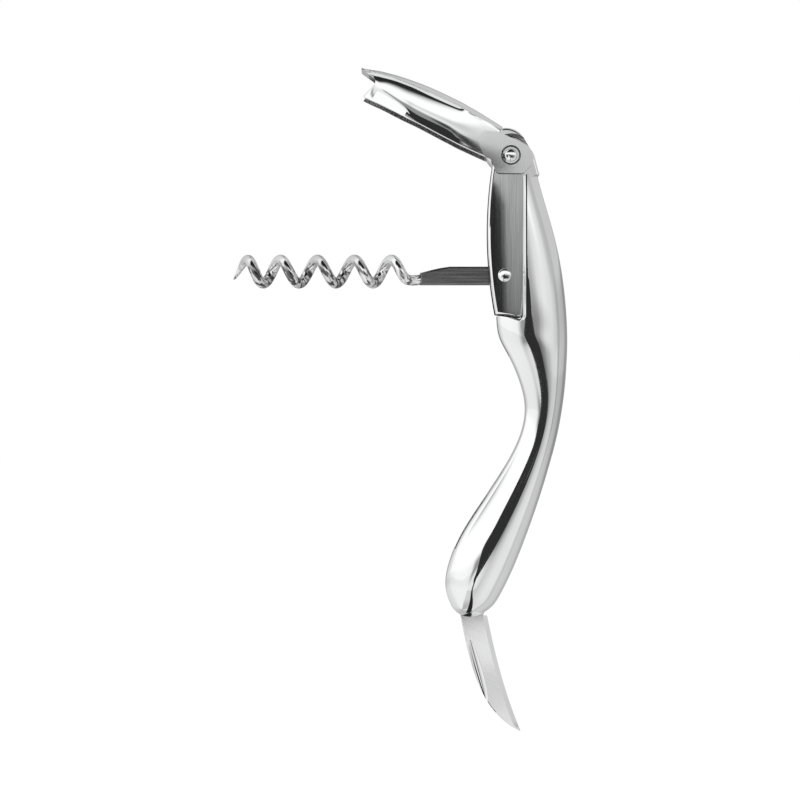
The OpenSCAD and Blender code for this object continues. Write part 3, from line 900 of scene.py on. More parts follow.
@dataclass
class Handle:
    """Cast handle with its S curve, knuckle, pocket, slots and grooves."""

    at: Layout
    polish: bpy.types.Material
    inside: bpy.types.Material
    # Near-black finish painted as shadow in the seam and in the recess round the ears
    painted_shadow: bpy.types.Material
    # Front point, back point, width and bluntness of the front, as shares, from the top down
    row_shares: tuple[Row, ...] = (
        (-0.148, 0.000, 0.186, 0.000, 0.86, 0.30), (-0.130, 0.062, 0.240, 0.062, 0.88, 0.30),
        (-0.138, 0.141, 0.334, 0.141, 0.89, 0.30), (-0.136, 0.228, 0.412, 0.223, 0.89, 0.35),
        (-0.112, 0.306, 0.451, 0.302, 0.90, 0.45), (-0.109, 0.352, 0.465, 0.354, 0.90, 0.55),
        (-0.098, 0.384, 0.469, 0.386, 0.90, 0.60), (-0.061, 0.408, 0.469, 0.415, 0.90, 0.60),
        (0.020, 0.443, 0.463, 0.450, 0.87, 0.65), (0.090, 0.491, 0.453, 0.493, 0.83, 0.75),
        (0.138, 0.539, 0.433, 0.537, 0.79, 0.85), (0.113, 0.589, 0.396, 0.597, 0.78, 0.90),
        (0.041, 0.637, 0.338, 0.656, 0.80, 0.80), (-0.072, 0.688, 0.262, 0.726, 0.85, 0.65),
        (-0.224, 0.748, 0.166, 0.800, 0.92, 0.52), (-0.378, 0.808, 0.074, 0.865, 0.98, 0.46),
        (-0.488, 0.866, -0.012, 0.919, 1.00, 0.42), (-0.531, 0.915, -0.107, 0.965, 0.97, 0.20),
    )
    steps: int = 9
    calm: int = 40
    # The bulb's rounded end: lowest point, slopes of its front and back line where it starts, sections,
    # the angle of the last one in degrees, and how often the sections are evened out
    pole: Pair = (-0.328, 1.0)
    end_slopes: Pair = (-0.08, -0.65)
    end_steps: int = 24
    end_angle: float = 89.5
    end_calm: int = 12
    points: int = 120
    # Softness of the blunt front's shoulders, and how fast it grows with the bluntness
    nose_soft: float = 0.22
    nose_growth: float = 3.0
    # The pocket: how far it lies under the frame's foot, the handle's width there as a share, the rim's
    # width, and the rim's profile as depths and growths of the outline
    pocket_drop: float = 0.3
    pocket_share: float = 0.89
    rim: float = 0.75
    rim_profile: tuple[Pair, ...] = ((-0.05, 0.0), (0.08, 0.05), (0.75, 0.70), (2.2, 2.15))
    # Narrow seam between the rim and the handle's front, finished near-black as painted shadow: width, depth,
    # lap over the rim, and its lower end as shares of its width and heights over the foot
    seam: float = 0.32
    seam_depth: float = 0.3
    seam_lap: float = 0.05
    seam_end: tuple[Pair, ...] = ((0.0, 0.4), (0.6, 1.6), (1.0, 6.0))
    # Shoulders beside the ears: clearance, and the angle of their edge in degrees
    ear_gap: float = 0.2
    ear_angle: float = -51.0
    # The knuckle: radius, its middle from the pin and its lower corners as shares of the radius, gap to
    # the frame's width, and its rounded rim as distances from its side and insets of its outline
    knuckle_r: float = 5.25
    knuckle_shares: Pair = (-0.217, 0.317)
    corner_shares: tuple[Pair, ...] = ((1.12, 0.02), (1.25, -0.52), (1.36, -0.90), (0.60, -1.05))
    knuckle_rim: tuple[Pair, ...] = ((0.6, 0.0), (0.25, 0.12), (0.06, 0.34), (0.0, 0.6))
    knuckle_points: int = 96
    # Clearance between the knuckle and the lever's spine, at rest and as it swings
    spine_gap: float = 0.1
    swing_gap: float = 0.4
    # Recess round the ears, finished near-black as painted shadow: radius, and its middle from the pin
    recess_r: float = 5.3
    recess_at: Pair = (0.14, 0.2)
    # Room for the folded worm: width and clearance of the shank's slot and how far it runs on under the
    # coil, then radius, start, end clearance and half width of the coil's groove, and the rise of the
    # groove's floor and the length over which it rises
    slot_width: float = 3.8
    slot_gap: float = 0.4
    slot_lap: float = 4.6
    groove_r: float = 4.65
    groove_start: float = 23.3
    groove_gap: float = 0.8
    groove_half: float = 9.0
    groove_rise: float = 2.437
    groove_ramp: float = 8.4
    # Room for the knife: width of its slot, radius round its root, clearance, and steps along its edge
    knife_slot: float = 2.4
    knife_root_r: float = 3.8
    knife_gap: float = 0.4
    knife_steps: int = 24
    knife_foot_share: float = 0.3
    # Hole of the knife's pin: radius, and its blind end on the near side
    knife_hole_r: float = 1.02
    knife_hole_end: float = 3.4

    def spot(self, sweep: float, drop: float) -> Vector:
        """Gives a point of the side view from its shares."""
        at = self.at
        return Vector((at.pin[0] + sweep * at.handle_sweep, 0, at.pin[1] - drop * at.handle_drop))

    def ring(self, front: Vector, back: Vector, width: float, blunt: float) -> list[Vector]:
        """Draws one section: an ellipse whose front is stretched and then held back by a flat nose.

        Args:
            front: The section's front point.
            back: Its back point.
            width: Its width across the tool.
            blunt: How far the front's ellipse is stretched, as a share.

        Returns:
            The points round the section.
        """
        points = []
        soft = self.nose_soft * min(1.0, self.nose_growth * blunt)
        for k in range(self.points):
            a = math.tau * k / self.points
            c = math.cos(a)
            if c < 0:
                far = -c * (1 + blunt)
                h = max(0.0, min(1.0, 0.5 + 0.5 * (far - 1) / soft)) if soft > 0 else float(far > 1)
                c = -(far * (1 - h) + h - soft * h * (1 - h))
            spot = front.lerp(back, 0.5 + 0.5 * c)
            points.append(Vector((spot.x, 0.5 * width * math.sin(a), spot.z)))
        return points

    def rings(self) -> list[list[Vector]]:
        """Draws all sections, and shrinks the last one while its ends run to the bulb's pole.

        Returns:
            The rings from the top down.
        """
        at = self.at
        rows = calmed(eased(self.row_shares, self.steps), self.calm)
        last = self.row_shares[-1]
        for i in range(1, self.end_steps + 1):
            a = math.radians(self.end_angle * i / self.end_steps)
            ends = []
            for start, slope in zip((last[0:2], last[2:4]), self.end_slopes):
                lean = slope * (start[1] - self.pole[1]) * at.handle_drop / at.handle_sweep
                corner = (self.pole[0] + lean, start[1])
                ends += [
                    c + (p - c) * math.cos(a) + (q - c) * math.sin(a)
                    for c, p, q in zip(corner, start, self.pole)
                ]
            rows.append((*ends, last[4] * math.cos(a), last[5]))
        whole = len(rows) - self.end_steps // 2
        rows = calmed(rows[:whole], self.end_calm) + rows[whole:]
        return [
            self.ring(self.spot(row[0], row[1]), self.spot(row[2], row[3]), row[4] * at.bulb_width, row[5])
            for row in rows
        ]

    def pocket(self, grow: float, top: float) -> list[Pair]:
        """Outlines the pocket, a little under the frame's foot."""
        return [(x, z - self.pocket_drop) for x, z in self.at.foot(grow, top)]

    def cut_pocket(self, body: bpy.types.Object) -> None:
        """Cuts the frame's pocket through, rounds its rim and cuts the seam beside it on both sides.

        Args:
            body: The handle, still in millimetres.
        """
        at = self.at
        top, deep = at.pin[1] + at.far, at.lever_width
        Solid.fit(body, Solid.prism(self.pocket(0, top), -deep, deep), Cut.AWAY, self.inside)
        rim_half = self.pocket_share * at.bulb_width / 2 - self.rim
        start = at.web_x + self.rim - self.seam_lap
        strip = [(start + self.seam * share, at.foot_z + rise) for share, rise in self.seam_end]
        strip += [(start + self.seam, top), (start, top)]
        for side in SIDES:
            outlines = [self.pocket(grow, top) for _, grow in self.rim_profile]
            depths = [side * (rim_half + depth) for depth, _ in self.rim_profile]
            Solid.fit(body, Solid.layers(outlines, depths), Cut.AWAY, self.polish)
            ends = span(side, rim_half - self.seam_depth, rim_half + self.rim + at.over)
            # The seam's faces are painted near-black as the shadow beside the rim
            Solid.fit(body, Solid.prism(strip, *ends), Cut.AWAY, self.painted_shadow)

    def cut_ear_seats(self, body: bpy.types.Object) -> None:
        """Cuts the shoulders beside the lever's ears.

        Args:
            body: The handle, still in millimetres.
        """
        at = self.at
        free = max(math.hypot(*share) for share in Lever.ear_shares if share[0] < 0)
        right = free * at.lever_length + self.ear_gap
        left, half = right - at.far, at.far / 2
        corners = [(left, -half), (right, -half), (right, half), (left, half)]
        outline = moved(corners, at.pin, self.ear_angle)
        for side in SIDES:
            ends = span(side, at.frame_width / 2, at.frame_width / 2 + at.lever_width)
            Solid.fit(body, Solid.prism(outline, *ends), Cut.AWAY, self.polish)

    def knuckle(self) -> bpy.types.Object:
        """Builds the rounded knuckle between the frame's plates, trimmed for the lever.

        Returns:
            The knuckle, still in millimetres.
        """
        at, r, pin, far = self.at, self.knuckle_r, self.at.pin, self.at.far
        half = at.frame_width / 2 - at.fixed_gap
        middle = (pin[0] + self.knuckle_shares[0] * r, pin[1] + self.knuckle_shares[1] * r)
        stretches = self.knuckle_points - 1
        turn = 360 * stretches / self.knuckle_points
        cloud = []
        for depth, inset in self.knuckle_rim:
            line = arc(middle, r - inset, 0, turn, stretches)
            line += [(pin[0] + x * r - inset, pin[1] + z * r) for x, z in self.corner_shares]
            cloud += [Vector((x, side * (half - depth), z)) for x, z in line for side in SIDES]
        piece = Solid.place(Solid.hull(cloud), "knuckle", self.polish)
        spine, top = (share * at.lever_length for share in Lever.row_shares[0][:2])
        clear = math.hypot(spine, top - Lever.roof) - self.swing_gap
        edge = self.spine_gap - spine
        rise = math.degrees(math.acos(min(1.0, -edge / clear)))
        bow = arc((0, 0), clear, 180 - rise, 180 + rise, 24)
        front = [(-far, -far), (edge, -far), *reversed(bow), (edge, far), (-far, far)]
        Solid.fit(piece, Solid.prism(moved(front, pin, -at.lever_rise), -far, far), Cut.AWAY)
        # The recess's faces are painted near-black as the shadow round the ears
        seat = (pin[0] + self.recess_at[0], pin[1] + self.recess_at[1])
        for side in SIDES:
            ends = span(side, half - at.sheet, half + at.over)
            Solid.fit(piece, Solid.rod(self.recess_r, seat, *ends), Cut.AWAY, self.painted_shadow)
        return piece

    def folded(self, points: Sequence[Pair]) -> list[Pair]:
        """Takes points from the worm's own drawing to its folded place."""
        return moved(points, self.at.rivet, self.at.worm_turn)

    def cut_worm_room(self, body: bpy.types.Object) -> None:
        """Cuts the slot for the folded shank and the groove for the coil.

        Args:
            body: The handle, still in millimetres.
        """
        at, r, start, half = self.at, self.groove_r, self.groove_start, self.slot_width / 2
        reach = at.reach() + self.groove_gap
        low, back = -at.shank_half - self.slot_gap, -start - self.slot_lap
        box = [(back, low), (at.eye_r, low), (at.eye_r, at.far), (back, at.far)]
        Solid.fit(body, Solid.prism(self.folded(box), -half, half), Cut.AWAY, self.inside)
        under = arc((0, at.coil_rise), r, 180, 360, 30)
        ring = [*under, (r, at.far), (-r, at.far)]
        rows = [
            [Vector((px, y, pz)) for (y, _), (px, pz) in zip(ring, self.folded([(x, z) for _, z in ring]))]
            for x in (-reach, -start)
        ]
        groove = Solid.place(Solid.loft(rows), "groove", self.inside)
        floor = at.coil_rise - r
        end, over = -reach - at.over / 2, at.over
        keep = [
            (end, at.far + over), (end, floor + self.groove_rise), (self.groove_ramp - reach, floor - over),
            (over - start, floor - over), (over - start, at.far + over),
        ]
        room = Solid.prism(self.folded(keep), -self.groove_half, self.groove_half)
        Solid.fit(groove, room, Cut.KEEP, self.inside)
        Solid.fit(body, Solid.lifted(groove), Cut.AWAY, self.inside)

    def cut_knife_room(self, body: bpy.types.Object) -> None:
        """Cuts the slot for the knife's root and for the folded blade.

        Args:
            body: The handle, still in millimetres.
        """
        at, root, half = self.at, self.knife_root_r, self.knife_slot / 2
        length, gap = at.knife_length, self.knife_gap
        edge = []
        for i in range(1, self.knife_steps + 1):
            x, z = bezier(Knife.edge_shares, i / self.knife_steps)
            p = turned((x * length, z * length), at.knife_turn)
            edge.append((p[0] - gap, p[1] + gap))
        outline = [
            (-root, 0.0), *edge, (at.far, edge[-1][1]), (at.far, -length),
            (-length * self.knife_foot_share, -length),
        ]
        Solid.fit(body, Solid.prism(moved(outline, at.knife_pin), -half, half), Cut.AWAY, self.inside)
        Solid.fit(body, Solid.rod(root, at.knife_pin, -half, half), Cut.AWAY, self.inside)

    def build(self) -> bpy.types.Object:
        """Builds the handle.

        Returns:
            The finished piece.
        """
        at, wide = self.at, self.at.lever_width
        body = Solid.place(Solid.loft(self.rings()), "handle_cast", self.polish)
        self.cut_pocket(body)
        self.cut_ear_seats(body)
        Solid.fit(body, Solid.lifted(self.knuckle()), Cut.JOIN, self.polish)
        self.cut_worm_room(body)
        self.cut_knife_room(body)
        pin_hole = Solid.rod(at.lever_pin_d / 2 + at.run_gap, at.pin, -wide, wide)
        Solid.fit(body, pin_hole, Cut.AWAY, self.inside)
        knife_hole = Solid.rod(self.knife_hole_r, at.knife_pin, -self.knife_hole_end, at.far)
        Solid.fit(body, knife_hole, Cut.AWAY, self.inside)
        Solid.finish(body)
        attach(body, "handle")
        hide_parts("handle")
        return body


# The frame


@dataclass
class Frame:
    """Folded sheet that carries the worm, with brushed plates and rounded edges."""

    at: Layout
    brushed: bpy.types.Material
    polish: bpy.types.Material
    top_r: float = 5.1
    # Bowed front edge: radius, its foremost point from the pin, and stretches
    bow_r: float = 110.0
    bow_at: Pair = (-5.7, -18.9)
    bow_steps: int = 48
    crown_steps: int = 28
    foot_steps: int = 10
    # Steps by which the bow's lower and upper end are found, in millimetres and in degrees
    step: float = 0.01
    turn_step: float = 0.05
    edge: float = 0.8
    # Distance from the web's back within which a point belongs to it, how far under the pin the web ends,
    # and the overrun of what is cut from between the plates
    web_slack: float = 0.01
    web_drop: float = 6.6
    over: float = 2.0

    def outline(self) -> list[Pair]:
        """Outlines a plate: round top, bowed front edge, sloping foot and straight back.

        Returns:
            The outline.
        """
        pin, web = self.at.pin, self.at.web_x
        middle = (pin[0] + self.bow_at[0] + self.bow_r, pin[1] + self.bow_at[1])
        corner = self.at.foot(0, pin[1], self.foot_steps)[2:-1]
        slope = math.radians(self.at.foot_slope)
        along, up = self.step * math.cos(slope), self.step * math.sin(slope)

        def before(point: Pair) -> bool:
            """Says whether a point lies before the bowed edge."""
            return math.hypot(point[0] - middle[0], point[1] - middle[1]) > self.bow_r

        def bow_angle(point: Pair) -> float:
            """Gives the angle in degrees at which the bow meets a point."""
            return math.degrees(math.atan2(point[1] - middle[1], point[0] - middle[0])) % 360

        foot_line = ((corner[0][0] - i * along, corner[0][1] + i * up) for i in count())
        low = next(point for point in foot_line if before(point))
        turns = (90 + i * self.turn_step for i in count())
        top = next(turn for turn in turns if before(on_circle(pin, self.top_r, turn)))
        high = on_circle(pin, self.top_r, top)
        bow = arc(middle, self.bow_r, bow_angle(low), bow_angle(high), self.bow_steps)
        back = math.degrees(math.acos((web - pin[0]) / self.top_r))
        crown = arc(pin, self.top_r, top, back, self.crown_steps)
        return [*corner, *reversed(crown), *reversed(bow[:-1])]

    def build(self) -> bpy.types.Object:
        """Builds the frame.

        Returns:
            The finished piece.
        """
        at, half, far = self.at, self.at.frame_width / 2, self.at.far
        inner = half - at.sheet

        def free_rim(e: bmesh.types.BMEdge) -> bool:
            """Says whether an edge is on a plate's rim, away from the web."""
            return on_side(e, half) and not all(v.co.x > at.web_x - self.web_slack for v in e.verts)

        bm = Solid.prism(self.outline(), -half, half)
        Solid.soften(bm, free_rim, self.edge, 3)
        piece = Solid.place(bm, "frame_sheet", self.brushed)
        Solid.skin_rims(piece, self.polish)
        web, back, low = at.web_x - at.sheet, at.web_x + self.over, at.foot_z - self.over
        sill, top = at.pin[1] - self.web_drop, 3 * far
        channel = [(web - far, low), (web, low), (web, sill), (back, sill), (back, top), (web - far, top)]
        Solid.fit(piece, Solid.prism(channel, -inner, inner), Cut.AWAY)
        Solid.fit(piece, Solid.rod(at.lever_pin_d / 2 + at.run_gap, at.pin, -far, far), Cut.AWAY)
        Solid.fit(piece, Solid.rod(at.worm_rivet_d / 2 + at.fixed_gap, at.rivet, -far, far), Cut.AWAY)
        Solid.finish(piece)
        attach(piece, "handle")
        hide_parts("frame")
        return piece


# The lever


@dataclass
class Lever:
    """Cast lever with its ears, hollow, flanges, bulge and notch for the bottle's lip."""

    at: Layout
    polish: bpy.types.Material
    inside: bpy.types.Material
    brushed: bpy.types.Material
    # Station, top, flange's lower edge, upper and lower end of the bulge's flank, crease and bottom
    row_shares: tuple[Row, ...] = (
        (0.124, 0.124, 0.098, 0.080, -0.045, -0.070, -0.083),
        (0.280, 0.130, 0.094, 0.074, -0.060, -0.086, -0.098),
        (0.350, 0.130, 0.093, 0.073, -0.060, -0.090, -0.101),
        (0.414, 0.129, 0.091, 0.067, -0.060, -0.094, -0.104),
        (0.550, 0.119, 0.079, 0.047, -0.066, -0.101, -0.109),
        (0.627, 0.110, 0.073, 0.034, -0.066, -0.090, -0.115),
        (0.700, 0.098, 0.066, 0.020, -0.060, -0.068, -0.119),
        (0.793, 0.079, 0.051, 0.012, -0.050, -0.062, -0.124),
        (0.850, 0.064, 0.037, 0.004, -0.045, -0.066, -0.130),
        (0.890, 0.053, 0.026, -0.008, -0.035, -0.058, -0.133),
        (0.930, 0.038, 0.018, -0.012, -0.034, -0.056, -0.135),
        (1.000, 0.008, 0.004, -0.014, -0.030, -0.052, -0.138),
    )
    # Half widths of flange, foot of the groove, crest, crease and lower edge, and the slopes of the
    # bulge's flank at its upper and lower end
    width_shares: tuple[Row, ...] = (
        (1.00, 0.980, 1.000, 1.000, 1.000, 0.00, 0.00), (1.00, 0.980, 1.000, 0.975, 0.970, 0.06, 0.04),
        (1.00, 0.965, 1.000, 0.968, 0.965, 0.10, 0.06), (1.00, 0.890, 1.000, 0.962, 0.959, 0.16, 0.08),
        (1.00, 0.870, 1.000, 0.958, 0.955, 0.20, 0.09), (1.00, 0.865, 1.000, 0.955, 0.952, 0.21, 0.09),
        (1.00, 0.865, 1.000, 0.942, 0.942, 0.21, 0.09), (0.99, 0.865, 0.985, 0.924, 0.924, 0.21, 0.09),
        (0.98, 0.855, 0.965, 0.914, 0.914, 0.22, 0.09), (0.96, 0.830, 0.925, 0.908, 0.908, 0.25, 0.05),
        (0.94, 0.780, 0.900, 0.900, 0.900, 0.30, 0.00), (0.88, 0.740, 0.890, 0.890, 0.890, 0.30, 0.00),
    )
    ear_shares: tuple[Pair, ...] = (
        (0.128, 0.080), (-0.055, 0.097), (-0.108, 0.074), (-0.135, 0.024), (-0.115, -0.056), (0.012, -0.128),
        (0.036, -0.120), (0.058, -0.102), (0.076, -0.086), (0.098, -0.079), (0.126, -0.083), (0.185, -0.045),
        (0.215, -0.005), (0.205, 0.045),
    )
    steps: int = 16
    calm: int = 10
    # The cap: points from its middle to its edge, the first one that is drawn, and the power that its
    # height falls with
    cap_points: int = 20
    cap_first: int = 4
    cap_power: float = 5.0
    # Softness of the flange's lip, of the lower edge, height of the bulge's crest as a share of its
    # flank, and points on each of the bulge's bends
    lip: float = 0.1
    lower_soft: float = 0.14
    crest_share: float = 0.3
    bends: int = 9
    # The ears: clearance to the frame, how far before the pin their free rim ends, and how round the
    # free corners and rims are
    frame_gap: float = 0.13
    free_share: float = 0.10
    free_lap: float = 0.5
    corner_soft: float = 0.55
    rim_soft: float = 0.3
    # The hollow: thickness of its roof, its last station and tip, and the lower edge beyond the tip
    roof: float = 1.15
    roof_steps: int = 8
    roof_calm: int = 3
    hollow_share: float = 0.855
    tip_shares: Pair = (0.885, 0.018)
    tip_drop: float = 1.2
    # Path of the worm rivet's heads: half its width, its depth past the frame, and its angles
    path_half: float = 2.05
    path_depth: float = 0.8
    path_turns: Pair = (180.0, 260.0)
    # The notch: its outline, the middle and radius of its round root, and its bevel, as places in Y with
    # growths of the outline and as the ways in which the outline's corners move
    notch_shares: tuple[Pair, ...] = ((1.03, 0.0035), (0.917, -0.008), (0.8915, -0.049), (0.9115, -0.124))
    root_shares: Pair = (0.917, -0.0362)
    root_r: float = 1.2
    notch_bevel: tuple[Pair, ...] = ((5.2, -0.3), (6.2, 0.7))
    notch_moves: tuple[Pair, ...] = ((0.0, 1.0), (-0.3, 1.0), (-1.0, 0.2), (-1.0, 0.0))
    # Seats of the washers: depth and radius
    seat_depth: float = 0.9
    seat_r: float = 2.45
    crisp: float = 26.0

    @property
    def wall(self) -> float:
        """Gives the thickness of the walls beside the frame."""
        return (self.at.lever_width - self.at.frame_width) / 2 - self.frame_gap

    def side(self, shares: Pair) -> Pair:
        """Gives a point of the lever's own side view from its shares."""
        return (-shares[0] * self.at.lever_length, shares[1] * self.at.lever_length)

    def half_section(self, p: Row, w: Row) -> list[Pair]:
        """Draws half a section from the middle of the top down one side, as width and height.

        Args:
            p: Station and heights as shares.
            w: Half widths as shares.

        Returns:
            The points, close together on the curved parts.
        """
        top, flange, high, low, crease, bottom = (v * self.at.lever_length for v in p[1:])
        edge, foot, crest_w, crease_w, bottom_w = (v * self.at.lever_width / 2 for v in w[:5])
        upper, lower = w[5:]
        lip, soft, bends, last = self.lip, self.lower_soft, self.bends, self.cap_points
        cap = top - flange - lip
        points = [
            (edge * i / last, top - cap * (i / last) ** self.cap_power) for i in range(self.cap_first, last)
        ]
        points += [(edge - 0.2 * lip, flange + 1.2 * lip), (edge, flange + 0.8 * lip), (edge - lip, flange)]
        crest = low + (high - low) * self.crest_share
        high_w = crest_w - upper * (high - crest) / 2
        low_w = crest_w - lower * (crest - low) / 2
        above, below = flange - high, low - crease
        for i in range(bends + 1):
            t = 1 - i / bends
            groove = upper * above * t + (high_w - foot - upper * above) * t * t
            points.append((high_w - groove, high + above * t))
        for i in range(1, bends + 1):
            t = 1 - i / bends
            points.append((crest_w - (crest_w - high_w) * t * t, crest + (high - crest) * t))
        for i in range(1, bends + 1):
            t = i / bends
            points.append((crest_w - (crest_w - low_w) * t * t, crest + (low - crest) * t))
        for i in range(1, bends + 1):
            t = i / bends
            fall = lower * below * t + (low_w - crease_w - lower * below) * t * t
            points.append((low_w - fall, low - below * t))
        return [*points, (bottom_w, bottom + soft), (bottom_w - soft, bottom)]

    def rings(self) -> list[list[Vector]]:
        """Draws the lever's sections from the hook to the hinge.

        Returns:
            The rings.
        """
        rows, widths = (
            calmed(eased(table, self.steps), self.calm) for table in (self.row_shares, self.width_shares)
        )
        made = []
        for row, width in reversed(list(zip(rows, widths))):
            side = self.half_section(row, width)
            x, top = self.side(row[:2])
            ring = [(x, 0.0, top), *[(x, y, z) for y, z in side], *[(x, -y, z) for y, z in reversed(side)]]
            made.append([self.posed(p) for p in ring])
        return made

    def posed(self, point: Row) -> Vector:
        """Takes a point from the lever's own drawing to its open place."""
        (x, z), = self.posed_line([(point[0], point[2])])
        return Vector((x, point[1], z))

    def posed_line(self, points: Sequence[Pair]) -> list[Pair]:
        """Takes an outline from the lever's own drawing to its open place."""
        return moved(points, self.at.pin, -self.at.lever_rise)

    def behind(self, vert: bmesh.types.BMVert) -> float:
        """Gives how far a point lies behind the pin, along the lever."""
        pin = self.at.pin
        return turned((vert.co.x - pin[0], vert.co.z - pin[1]), self.at.lever_rise)[0]

    def ear(self, side: float) -> bmesh.types.BMesh:
        """Builds one ear, rounded along the outer rim that stays in sight.

        Args:
            side: -1 for the near ear and 1 for the far one.

        Returns:
            The ear.
        """
        wall, outer = self.wall, side * self.at.lever_width / 2
        outline = self.posed_line([self.side(share) for share in self.ear_shares])
        bm = Solid.prism(outline, *sorted((outer, outer - side * wall)))
        limit = self.free_share * self.at.lever_length

        def seen(e: bmesh.types.BMEdge) -> bool:
            """Says whether an edge is on the outer rim, away from the lever's body."""
            outside = all(abs(v.co.y - outer) < TOUCH for v in e.verts)
            return outside and min(self.behind(v) for v in e.verts) > -limit - self.free_lap

        def corner(e: bmesh.types.BMEdge) -> bool:
            """Says whether an edge runs across the tool at one of the ear's free corners."""
            across = abs(e.verts[0].co.y - e.verts[1].co.y) > wall / 2
            return across and self.behind(e.verts[0]) > -limit

        Solid.soften(bm, corner, self.corner_soft, 5)
        Solid.soften(bm, seen, self.rim_soft, 4)
        return bm

    def cut_hollow(self, body: bpy.types.Object) -> None:
        """Cuts the hollow under the spine, open below and between the jaws.

        Args:
            body: The lever, still in millimetres.
        """
        at, inner = self.at, self.at.lever_width / 2 - self.wall
        spine = calmed(eased(self.row_shares, self.roof_steps), self.roof_calm)
        line = [self.side(share[:2]) for share in spine if share[0] < self.hollow_share]
        roof = [(x, z - self.roof) for x, z in line]
        end = -at.lever_length - at.over / 2
        outline = [
            (at.far, roof[0][1]), *roof, self.side(self.tip_shares), (end, -self.tip_drop), (end, -at.far),
            (at.far, -at.far),
        ]
        Solid.fit(body, Solid.prism(self.posed_line(outline), -inner, inner), Cut.AWAY, self.inside)

    def cut_relief(self, body: bpy.types.Object) -> None:
        """Cuts the path of the worm rivet's heads out of the inner walls.

        Args:
            body: The lever, still in millimetres.
        """
        pin, rivet = self.at.pin, self.at.rivet
        path = math.hypot(pin[0] - rivet[0], pin[1] - rivet[1])
        depth = self.at.frame_width / 2 + self.path_depth
        first, last = self.path_turns
        ring = arc((0, 0), path + self.path_half, first, last, 60)
        ring += arc((0, 0), path - self.path_half, last, first, 60)
        Solid.fit(body, Solid.prism(self.posed_line(ring), -depth, depth), Cut.AWAY, self.inside)

    def notch(self, grow: float) -> list[Pair]:
        """Outlines what the notch takes away, down to the lever's lower edge and past its end.

        Args:
            grow: How far the outline's corners move outwards.

        Returns:
            The outline in its open place.
        """
        g, far = grow / self.at.lever_length, self.at.far
        corners = zip(self.notch_shares, self.notch_moves)
        edge = [self.side((x + across * g, z + up * g)) for (x, z), (across, up) in corners]
        return self.posed_line([*edge, (edge[-1][0], -far), (-2 * far, -far)])

    def cut_notch(self, body: bpy.types.Object) -> None:
        """Cuts the notch for the bottle's lip, with a round root and a bevel on both sides.

        Args:
            body: The lever, still in millimetres.
        """
        wide = self.at.lever_width
        Solid.fit(body, Solid.prism(self.notch(0.0), -wide, wide), Cut.AWAY, self.brushed)
        root, = self.posed_line([self.side(self.root_shares)])
        Solid.fit(body, Solid.rod(self.root_r, root, -wide, wide), Cut.AWAY, self.brushed)
        for side in SIDES:
            outlines = [self.notch(grow) for _, grow in self.notch_bevel]
            depths = [side * depth for depth, _ in self.notch_bevel]
            Solid.fit(body, Solid.layers(outlines, depths), Cut.AWAY, self.polish)

    def build(self) -> bpy.types.Object:
        """Builds the lever.

        Returns:
            The finished piece.
        """
        at, wide = self.at, self.at.lever_width
        body = Solid.place(Solid.loft(self.rings()), "lever_cast", self.polish)
        for side in SIDES:
            Solid.fit(body, self.ear(side), Cut.JOIN, self.polish)
        self.cut_hollow(body)
        self.cut_relief(body)
        self.cut_notch(body)
        hole = Solid.rod(at.lever_pin_d / 2 + at.fixed_gap, at.pin, -wide, wide)
        Solid.fit(body, hole, Cut.AWAY, self.polish)
        for side in SIDES:
            seat = Solid.rod(self.seat_r, at.pin, *span(side, wide / 2 - self.seat_depth, wide))
            Solid.fit(body, seat, Cut.AWAY, self.inside)
        Solid.finish(body, self.crisp)
        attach(body, "lever")
        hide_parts("lever")
        return body


# Pins


@dataclass
class DomedPin:
    """Pin across the tool with a domed head at each end."""

    name: str
    node: str
    body: str
    place: Pair
    shaft_r: float
    half_length: float
    head_r: float
    head_height: float
    polish: bpy.types.Material
    steps: int = 14
    segments: int = 72

    def build(self) -> bpy.types.Object:
        """Builds the pin.

        Returns:
            The finished piece.
        """
        angles = [math.radians(90 * i / self.steps) for i in range(self.steps + 1)]
        head = [
            (self.head_r * math.cos(a), self.half_length + self.head_height * math.sin(a)) for a in angles
        ]
        head[-1] = (0.0, head[-1][1])
        near = [(r, -y) for r, y in reversed(head)]
        outline = [*near, (self.shaft_r, -self.half_length), (self.shaft_r, self.half_length), *head]
        piece = Solid.place(Solid.round_across(outline, self.place, self.segments), self.name, self.polish)
        Solid.finish(piece)
        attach(piece, self.body)
        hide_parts(self.node)
        return piece


@dataclass
class PinWasher:
    """Ring with a rounded rim in a counterbore, under a pin's head."""

    name: str
    node: str
    body: str
    place: Pair
    side: float
    polish: bpy.types.Material
    seat: float = 5.6
    outer_r: float = 2.2
    inner_r: float = 1.32
    thick: float = 0.6
    # Roundness of the outer rim, how far in from the corner its middle lies, and roundness of the hole's
    edge: float = 0.22
    edge_middle: float = 0.07
    inner_edge: float = 0.1
    segments: int = 72
    crisp: float = 40.0

    def build(self) -> bpy.types.Object:
        """Builds the washer.

        Returns:
            The finished piece.
        """
        top, edge, middle, inner = self.seat + self.thick, self.edge, self.edge_middle, self.inner_edge
        line = [
            (self.inner_r, self.seat), (self.outer_r, self.seat), (self.outer_r, top - edge),
            (self.outer_r - middle, top - middle), (self.outer_r - edge, top), (self.inner_r + inner, top),
            (self.inner_r, top - inner),
        ]
        outline = [(r, self.side * y) for r, y in line]
        piece = Solid.place(Solid.round_across(outline, self.place, self.segments), self.name, self.polish)
        Solid.finish(piece, self.crisp)
        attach(piece, self.body)
        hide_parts(self.node)
        return piece


# The worm


